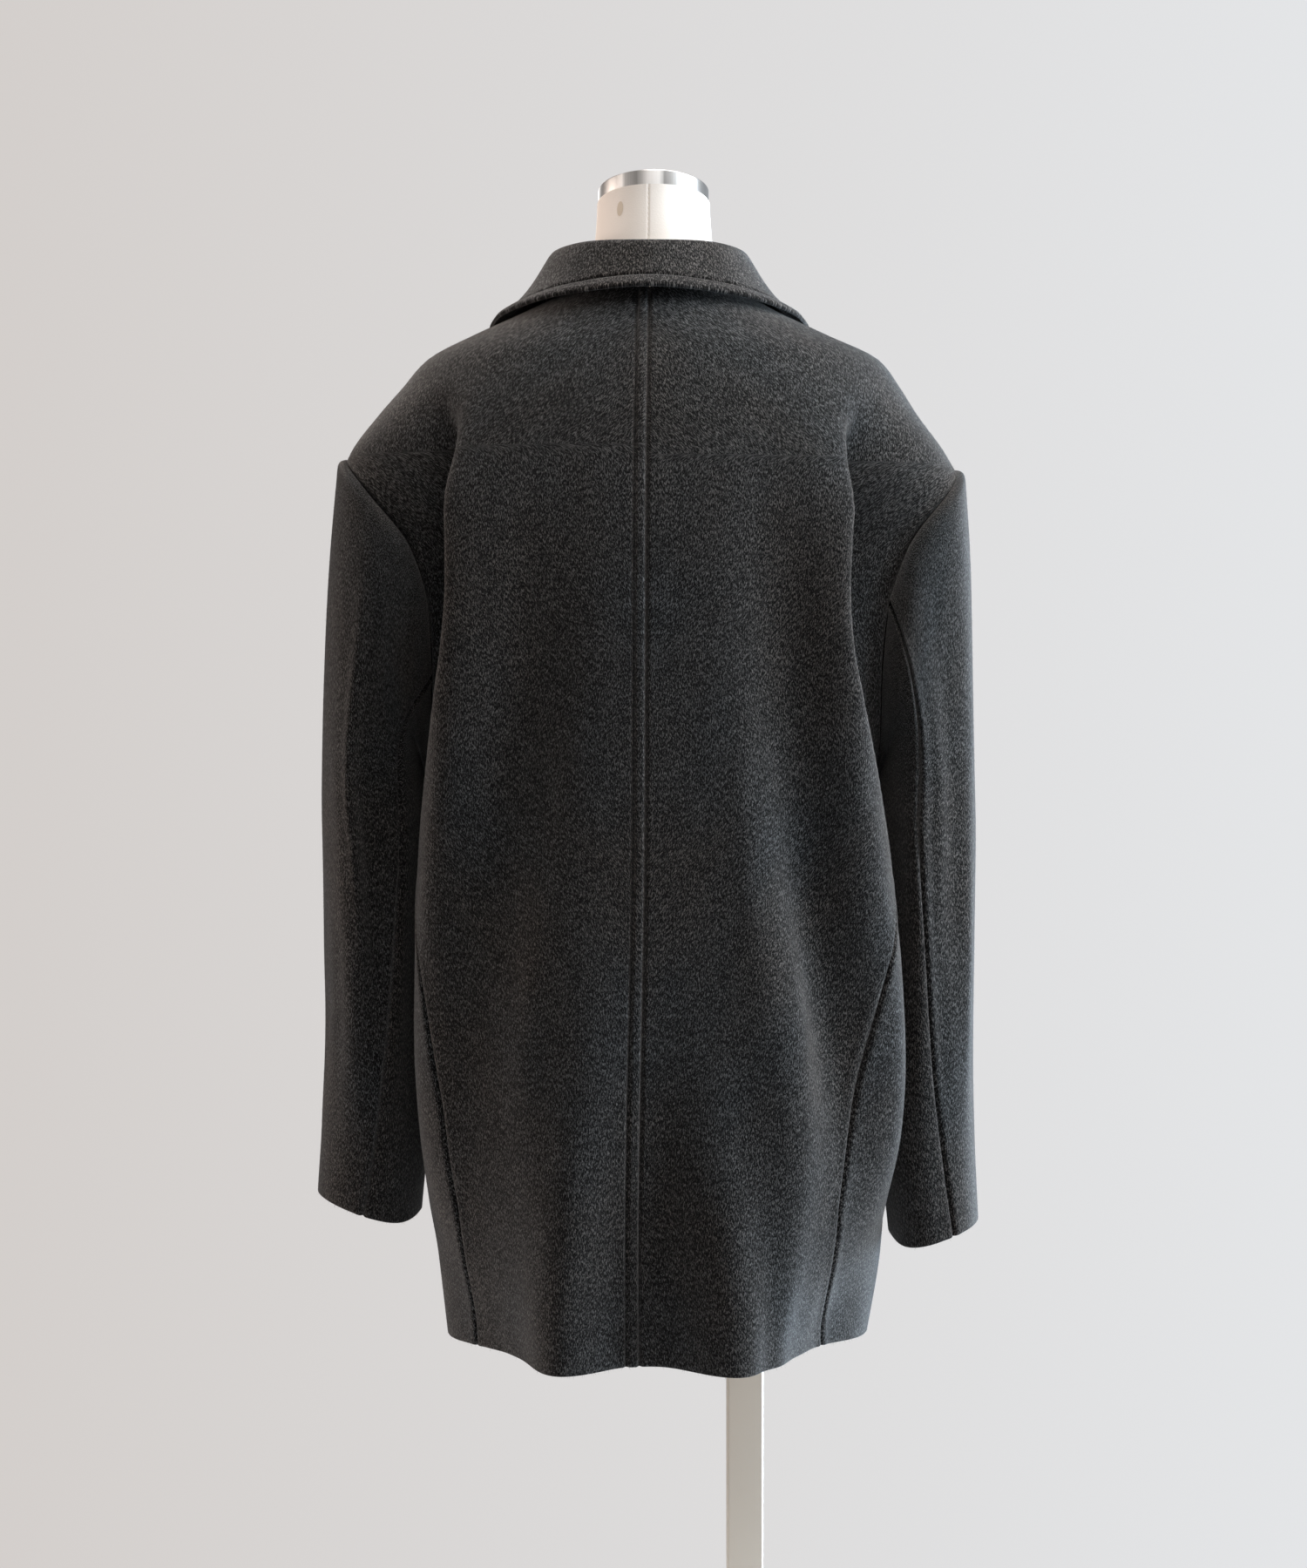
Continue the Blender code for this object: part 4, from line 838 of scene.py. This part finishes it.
lapel = {
    "thick": 0.004, "least": 0.006, "opens": (-0.01, 0.09),
    "from": {-1: 1.136, 1: 1.044}, "top": (1.309, 1.299),
    "rows": 84, "columns": 40, "wide": 0.1, "long": 0.22, "grainRadius": 0.16,
    "stitchAway": 0.01, "stitchDeep": 0.002, "stitchWide": 0.0012, "puff": 0.0013,
    "stitchFrom": 0.09, "stitchPlaces": 80, "sewnWhere": (0.012, 0.02),
    "cut": {-1: (0.112, 0.24, 0.0134), 1: (0.112, 0.33, 0.0187)},
    "reach": columns(
        "height* reach*",
        (1040, -18), (1100, 30), (1170, 78), (1240, 122), (1285, 148), (1305, 158),
    ),
}


# Collar's middle surface: across is 0 at the neck seam, 1 at the roll and 2 at the free edge.
def collarPoint(station, across):
    station, across = grids(station, across)
    lines = collar["lines"]
    knots = np.concatenate([-lines["station"][:0:-1], lines["station"]])

    def guide(line):
        halves = [(lines[line + axis], -1 if axis == "X" else 1) for axis in "XYZ"]
        return np.stack([smoothCurve(knots, np.concatenate([mirror * half[:0:-1], half]), station)
                         for half, mirror in halves], axis=-1)

    shift = (collar["shift"] * (1 - station**4))[..., None] * np.array([1.0, 0, 0])
    seam, roll, edge = guide("seam"), guide("roll") + shift, guide("edge") + shift
    level = (edge - roll) * (1, 1, 0)
    away = collar["rollReach"] * unit(level)
    stand = hermite(seam, roll - seam, roll, away, np.clip(across, 0, 1)[..., None])
    flare = (edge - roll) * collar["flare"]
    fall = hermite(roll, away, edge, flare, np.clip(across - 1, 0, 1)[..., None])
    return np.where(across[..., None] < 1, stand, fall)


def makeCollar():  # stations round the neck, places across, a sewn line beside the free edge
    station = rimmed(2.0, 2.0 / collar["stations"]) - 1
    standRows = crowded(collar["standSteps"], collar["standLong"], collar["standCrowd"])
    fallRows = 2 - crowded(collar["fallSteps"], collar["fallLong"])[-2::-1]
    across, station = np.meshgrid(np.concatenate([standRows, fallRows]), station)
    points = collarPoint(station, across)
    normal = -outward(collarPoint, station, across)
    length = runLength(points, 1)
    away = length[:, -1:] - length
    uv = np.stack([station * collar["grainHalf"], length], axis=-1)
    piece = clothShell("coat_collar", points + collar["thick"] / 2 * normal, normal, uv,
                       sewnEdge(away, collar), collar["thick"])
    hangCloth(piece, "collar")
    row = np.arange(len(points))
    spot = (away > collar["stitchAway"]).sum(axis=1) - 1
    share = (away[row, spot] - collar["stitchAway"]) / (away[row, spot] - away[row, spot + 1])
    line = points[row, spot] + share[:, None] * (points[row, spot + 1] - points[row, spot])
    out = normal[row, spot]
    lift = collar["thick"] / 2 - collar["stitchDeep"] + thread["radius"]
    sewLine("stitches_collar", line + lift * out, out)


def makeLapel(side):  # lies on its front: shares from the roll line to a given reach, by height
    surface = partial(bodyPoint, lap=body["lapRise"] if side > 0 else 0.0)
    wide, long = lapel["wide"], lapel["long"]
    across = rimmed(wide, wide / lapel["columns"]) / wide
    up = rimmed(long, long / lapel["rows"])[:, None] / long
    low, (topRoll, topEdge) = lapel["from"][side], lapel["top"]
    height = low + up * (topRoll + (topEdge - topRoll) * across - low)
    roll = rollReach(height)
    width = (readRows(lapel["reach"], "reach", height) - roll) * ease(*lapel["opens"], height - low)
    width = np.maximum(width, lapel["least"])
    turn = turnAt(side, roll + width * across, height)
    normal = outward(surface, turn, height)
    relief = sewnEdge(width * (1 - across), lapel) * ease(*lapel["sewnWhere"], width)
    raised = cloth["lyingGap"] + lapel["thick"]
    uv = np.stack([turn * lapel["grainRadius"], height], axis=-1)
    node, points = f"lapel_{sideNames[side]}", surface(turn, height) + raised * normal
    piece = clothShell(f"coat_{node}", points, normal, uv, relief, lapel["thick"], lying=True)
    hangCloth(piece, node)
    away = lapel["stitchAway"]
    tall = np.linspace(low + lapel["stitchFrom"], topEdge - away, lapel["stitchPlaces"])
    line = turnAt(side, readRows(lapel["reach"], "reach", tall) - away, tall)
    out = outward(surface, line, tall)
    lift = raised - lapel["stitchDeep"] + thread["radius"]
    sewLine(f"stitches_{node}", surface(line, tall) + lift * out, out)


makeCollar()
for side in sideNames:
    makeLapel(side)
makeNap()
print("collar, lapels and nap made")


# dress form, stand and buttons

form = {
    "square": 2.15, "rows": 150, "sides": 200, "neckTilt": 0.197, "tiltFrom": 1.41, "neckTop": 1.457,
    "seamTurn": -5.0, "seamDeep": 0.0003, "seamWide": 0.8, "seamFrom": 1.33, "seamTo": 1.453,
    "seamPlaces": (-3.5, 3.6, 0.5), "seamClear": 4,
    "stitchLong": 0.0021, "stitchStep": 0.0034, "stitchRadius": 0.00022, "stitchSlant": 0.0004,
    "spotPlace": (-33.8, 1.4415), "spotSize": (0.0028, 0.005), "spotRadius": 0.047, "spotSides": 40,
    "spotLift": 0.0002,
    "sections": columns(
        "height* wide* back* front*",
        (750, 146, 100, 92), (760, 149, 103, 94), (820, 157, 112, 100), (880, 150, 104, 99),
        (940, 131, 88, 96), (1000, 118, 78, 94), (1080, 128, 82, 104), (1160, 146, 92, 116),
        (1230, 160, 97, 108), (1280, 175, 93, 94), (1302, 179, 88, 84), (1318, 175, 82, 74),
        (1334, 150, 75, 64), (1350, 116, 69, 57), (1365, 84, 64, 54), (1380, 63, 60, 52),
        (1400, 53, 55, 50), (1425, 48.5, 50, 48), (1457, 46.5, 47, 46.5), (1470, 46.5, 47, 46.5),
    ),
}
neckCap = {"gap": 0.0003, "thick": 0.0125, "radius": 0.0457, "round": 0.0010, "roundSteps": 8, "sides": 160}
sharpTurn = math.radians(50)
stand = {
    "pole": (0.03, 0.03), "place": (0.0757, 0.015), "flange": (0.11, 0.09, 0.004),
    "base": (0.4, 0.34, 0.01), "baseCorner": 0.03, "round": 0.0015, "corner": 0.0022,
    "cornerSteps": 8, "gap": 0.0003, "formBottom": 0.76,
}
buttons = {
    "heights": (1.005, 0.88, 0.755), "sides": 64,
    "stitchHalf": 0.0026, "stitchApart": 0.0021, "stitchRadius": 0.0005,
    "profile": columns(
        "radius* lift*",
        (10.8, 1.2), (12.3, 1.2), (13.2, 1.8), (13.5, 2.6), (13.5, 4.4), (13.1, 5.3), (12.3, 5.7),
        (11.2, 5.5), (10.2, 4.9), (9.2, 4.4), (7, 4.2), (4, 4.2),
    ),
}


def turnedPiece(name, rings, finish, node):  # closed rings one above the other, with flat ends
    index = np.arange(rings.size // 3).reshape(rings.shape[:2])
    faces = [*tubeQuads(index), index[0, ::-1].tolist(), index[-1].tolist()]
    piece = addMesh(name, rings.reshape(-1, 3), faces, finish)
    piece.data.set_sharp_from_angle(angle=sharpTurn)
    claim(piece, node)


def formPoint(turn, height):  # level superellipse, with a shallow seam, tilted at the neck's top
    turn, height = grids(turn, height)
    sections = form["sections"]
    depth = readEither(np.cos(turn) > 0, sections, "back", "front", height)
    radius = superRadius(turn, readRows(sections, "wide", height), depth, form["square"])
    radius = radius - form["seamDeep"] * hump(np.degrees(turn) - form["seamTurn"], form["seamWide"])
    tilted = form["neckTilt"] * ease(form["tiltFrom"], form["neckTop"], height)
    y = -radius * np.cos(turn)
    return np.stack([radius * np.sin(turn), y, height - tilted * y], axis=-1)


def makeForm():  # rings of the form by height, then a sewn line and a spot on its neck
    even = circle(form["sides"], -np.pi)
    seam = np.radians(form["seamTurn"] + np.arange(*form["seamPlaces"]))
    turn = np.union1d(even[np.abs(np.degrees(even) - form["seamTurn"]) > form["seamClear"]], seam)
    height = np.linspace(stand["formBottom"], form["neckTop"], form["rows"])
    rings = formPoint(turn, height[:, None])
    turnedPiece("form_linen", rings, plain["cream_linen"], "form_torso")
    tall = np.arange(form["seamFrom"], form["seamTo"], form["stitchStep"])
    line = np.full(len(tall), math.radians(form["seamTurn"]))
    out = outward(formPoint, line, tall)
    start = formPoint(line, tall)
    slant = form["stitchSlant"] * np.cross(out, (0, 0, 1.0))
    end = formPoint(line, tall + form["stitchLong"]) + slant
    makeStitches("stitches_neck", start - slant, end, out, plain["beige_thread"],
                 form["stitchRadius"])
    spotTurn, spotHeight = form["spotPlace"]
    ring = circle(form["spotSides"])
    wide, long = form["spotSize"]
    spotTurn = math.radians(spotTurn) + wide / form["spotRadius"] * np.cos(ring)
    spotHeight = spotHeight + long * np.sin(ring)
    points = formPoint(spotTurn, spotHeight) + form["spotLift"] * outward(formPoint, spotTurn, spotHeight)
    claim(addMesh("form_spot", points, [list(range(len(points)))], plain["beige_thread"]))


def makeCap():  # a straight side, then a quarter round to the flat top, all slanted with the neck
    turn = circle(neckCap["sides"], -np.pi)
    bow = np.linspace(0, np.pi / 2, neckCap["roundSteps"])
    soft, top = neckCap["round"], neckCap["thick"]
    lift = np.concatenate([[neckCap["gap"]], top - soft + soft * np.sin(bow)])[:, None]
    radius = np.concatenate([[neckCap["radius"]], neckCap["radius"] - soft + soft * np.cos(bow)])[:, None]
    y = -radius * np.cos(turn)
    rings = np.stack([radius * np.sin(turn), y, form["neckTop"] + lift - form["neckTilt"] * y], axis=-1)
    turnedPiece("form_cap", rings, capFinish, "form_neck_cap")


def makeBlock(name, node, size, centre, corner, soft):  # rounded rectangle sections, both ends rounded over
    half = np.array(size) / 2
    bow = np.linspace(0, np.pi / 2, stand["cornerSteps"])
    turn = np.concatenate([bow + quarter * np.pi / 2 for quarter in range(4)])
    middle = np.repeat([(1, 1), (-1, 1), (-1, -1), (1, -1)], len(bow), axis=0) * (half[:2] - corner)
    inset, rise = soft * (1 - np.sin(bow)), soft * (1 - np.cos(bow))
    inset = np.concatenate([inset, inset[::-1]])[:, None]
    level = np.concatenate([rise - half[2], half[2] - rise[::-1]])[:, None]
    x, y = middle[:, 0] + (corner - inset) * np.cos(turn), middle[:, 1] + (corner - inset) * np.sin(turn)
    rings = np.stack([x, y, level + 0 * turn], axis=-1)
    turnedPiece(name, rings + centre, plain["satin_steel"], node)


def makeStand():  # plate, tube and disc, one above the other with small gaps
    gap, base, flange = stand["gap"], stand["base"], stand["flange"]
    flangeTop = stand["formBottom"] - gap
    low, high = base[2] + gap, flangeTop - flange[2] - gap
    makeBlock("stand_plate", "stand_base", base, (0, 0, base[2] / 2), stand["baseCorner"], stand["round"])
    makeBlock("stand_tube", "stand_pole", (*stand["pole"], high - low), (*stand["place"], (low + high) / 2),
              stand["corner"], stand["round"])
    makeBlock("stand_disc", "stand_flange", flange, (*stand["place"], flangeTop - flange[2] / 2),
              stand["corner"], stand["round"] / 2)


def makeButton(number, height):  # a turned disc with a rim and a dish, sewn on with two threads
    surface = partial(bodyPoint, lap=body["lapRise"])
    place = np.array([np.pi]), np.array([height])
    seat, out = surface(*place)[0], outward(surface, *place)[0]
    sideways = np.array([1.0, 0, 0])
    upright = np.cross(out, sideways)
    turn = circle(buttons["sides"])[:, None]
    radius, lift = (buttons["profile"][key][:, None, None] for key in ("radius", "lift"))
    rings = seat + lift * out + radius * (np.cos(turn) * sideways + np.sin(turn) * upright)
    turnedPiece(f"coat_button_{number}", rings, plain["dark_horn"], f"button_{number}")
    apart = buttons["stitchApart"] * np.array([[-1.0], [1.0]]) * sideways
    middle = seat + buttons["profile"]["lift"][-1] * out + apart
    reach = buttons["stitchHalf"] * upright
    makeStitches(f"stitches_button_{number}", middle - reach, middle + reach, np.stack([out, out]),
                 plain["sewing_thread"], buttons["stitchRadius"])


makeForm()
makeCap()
makeStand()
for number, height in enumerate(buttons["heights"], 1):
    makeButton(number, height)
print("form, stand and buttons made")


# studio: pale floor, soft lights from both sides, pale surroundings

studio = {
    "floorRadius": 1.1, "floorSides": 96, "floorColour": (0.8, 0.79, 0.78), "floorRough": 0.8,
    "backLeft": (0.655, 0.622, 0.602), "backRight": (0.775, 0.785, 0.8), "backSpan": 0.22,
    "around": (0.8, 0.84, 0.9), "aroundStrength": 0.02,
    "lights": columns(
        "x y z size power red green blue",
        (1.98, -0.36, 2.1, 1.1, 76, 0.84, 0.93, 1), (2.2, -0.3, 0.4, 1.1, 62, 0.7, 0.86, 1),
        (1.74, 1.46, 0.8, 1.1, 120, 0.64, 0.82, 1), (1.5, 1.7, 0.4, 1.1, 90, 0.64, 0.82, 1),
        (-2.25, -0.2, 1, 1.1, 11, 1, 0.88, 0.8), (-2.25, 0.35, 1.4, 1.1, 40, 1, 0.85, 0.76),
        (0.6, -0.15, 3.22, 1.1, 54, 1, 0.95, 0.9), (0.3, -0.75, 2.55, 1.1, 17, 1, 0.96, 0.92),
        (0, -2.3, 0.9, 1.1, 4, 1, 0.98, 0.96), (-0.4, 2.3, 1.7, 1.6, 34, 1, 0.97, 0.94),
    ),
    "aim": (0.0, 0.0, 1.0),
}


def makeFloor():  # a flat disc
    turn = circle(studio["floorSides"])
    rim = studio["floorRadius"] * np.stack([np.cos(turn), np.sin(turn), 0 * turn], axis=-1)
    paint = makePlain("floor_paint", studio["floorColour"], studio["floorRough"])
    addMesh("floor", rim, [list(range(len(rim)))], paint)


def makeLights():  # soft squares that face the coat
    for number, light in enumerate(rowsOf(studio["lights"])):
        lamp = bpy.data.lights.new(f"soft_light_{number}", "AREA")
        lamp.shape = "RECTANGLE"
        lamp.size, lamp.size_y, lamp.energy = light["size"], light["size"], light["power"]
        lamp.color = (light["red"], light["green"], light["blue"])
        holder = addObject(lamp.name, lamp)
        place = np.array([light["x"], light["y"], light["z"]])
        holder.location = place
        back = place - studio["aim"]
        tilt = math.atan2(math.hypot(back[0], back[1]), back[2])
        holder.rotation_euler = (tilt, 0, math.atan2(back[0], -back[1]))


def makeSurroundings():  # a pale gradient for the eye and for gloss, a faint even light for the rest
    world = bpy.data.worlds.new("surroundings")
    world.use_nodes = True
    tree = world.node_tree
    tree.nodes.clear()
    across = acrossX(tree, addNode(tree, "TexCoord").outputs["Generated"], studio["backSpan"])
    stops = (0.0, studio["backLeft"]), (1.0, studio["backRight"])
    pale = addNode(tree, "Background", {"Color": addRamp(tree, across, stops)})
    around = addNode(tree, "Background", {"Color": studio["around"], "Strength": studio["aroundStrength"]})
    rays = addNode(tree, "LightPath").outputs
    shown = addMath(tree, "MAXIMUM", rays["Is Camera Ray"], rays["Is Glossy Ray"])
    mixed = addNode(tree, "MixShader", {0: shown, 1: around.outputs[0], 2: pale.outputs[0]})
    addNode(tree, "OutputWorld", {0: mixed.outputs[0]})
    bpy.context.scene.world = world
    bpy.context.scene.view_settings.view_transform = "Standard"


makeFloor()
makeLights()
makeSurroundings()
print("studio made")
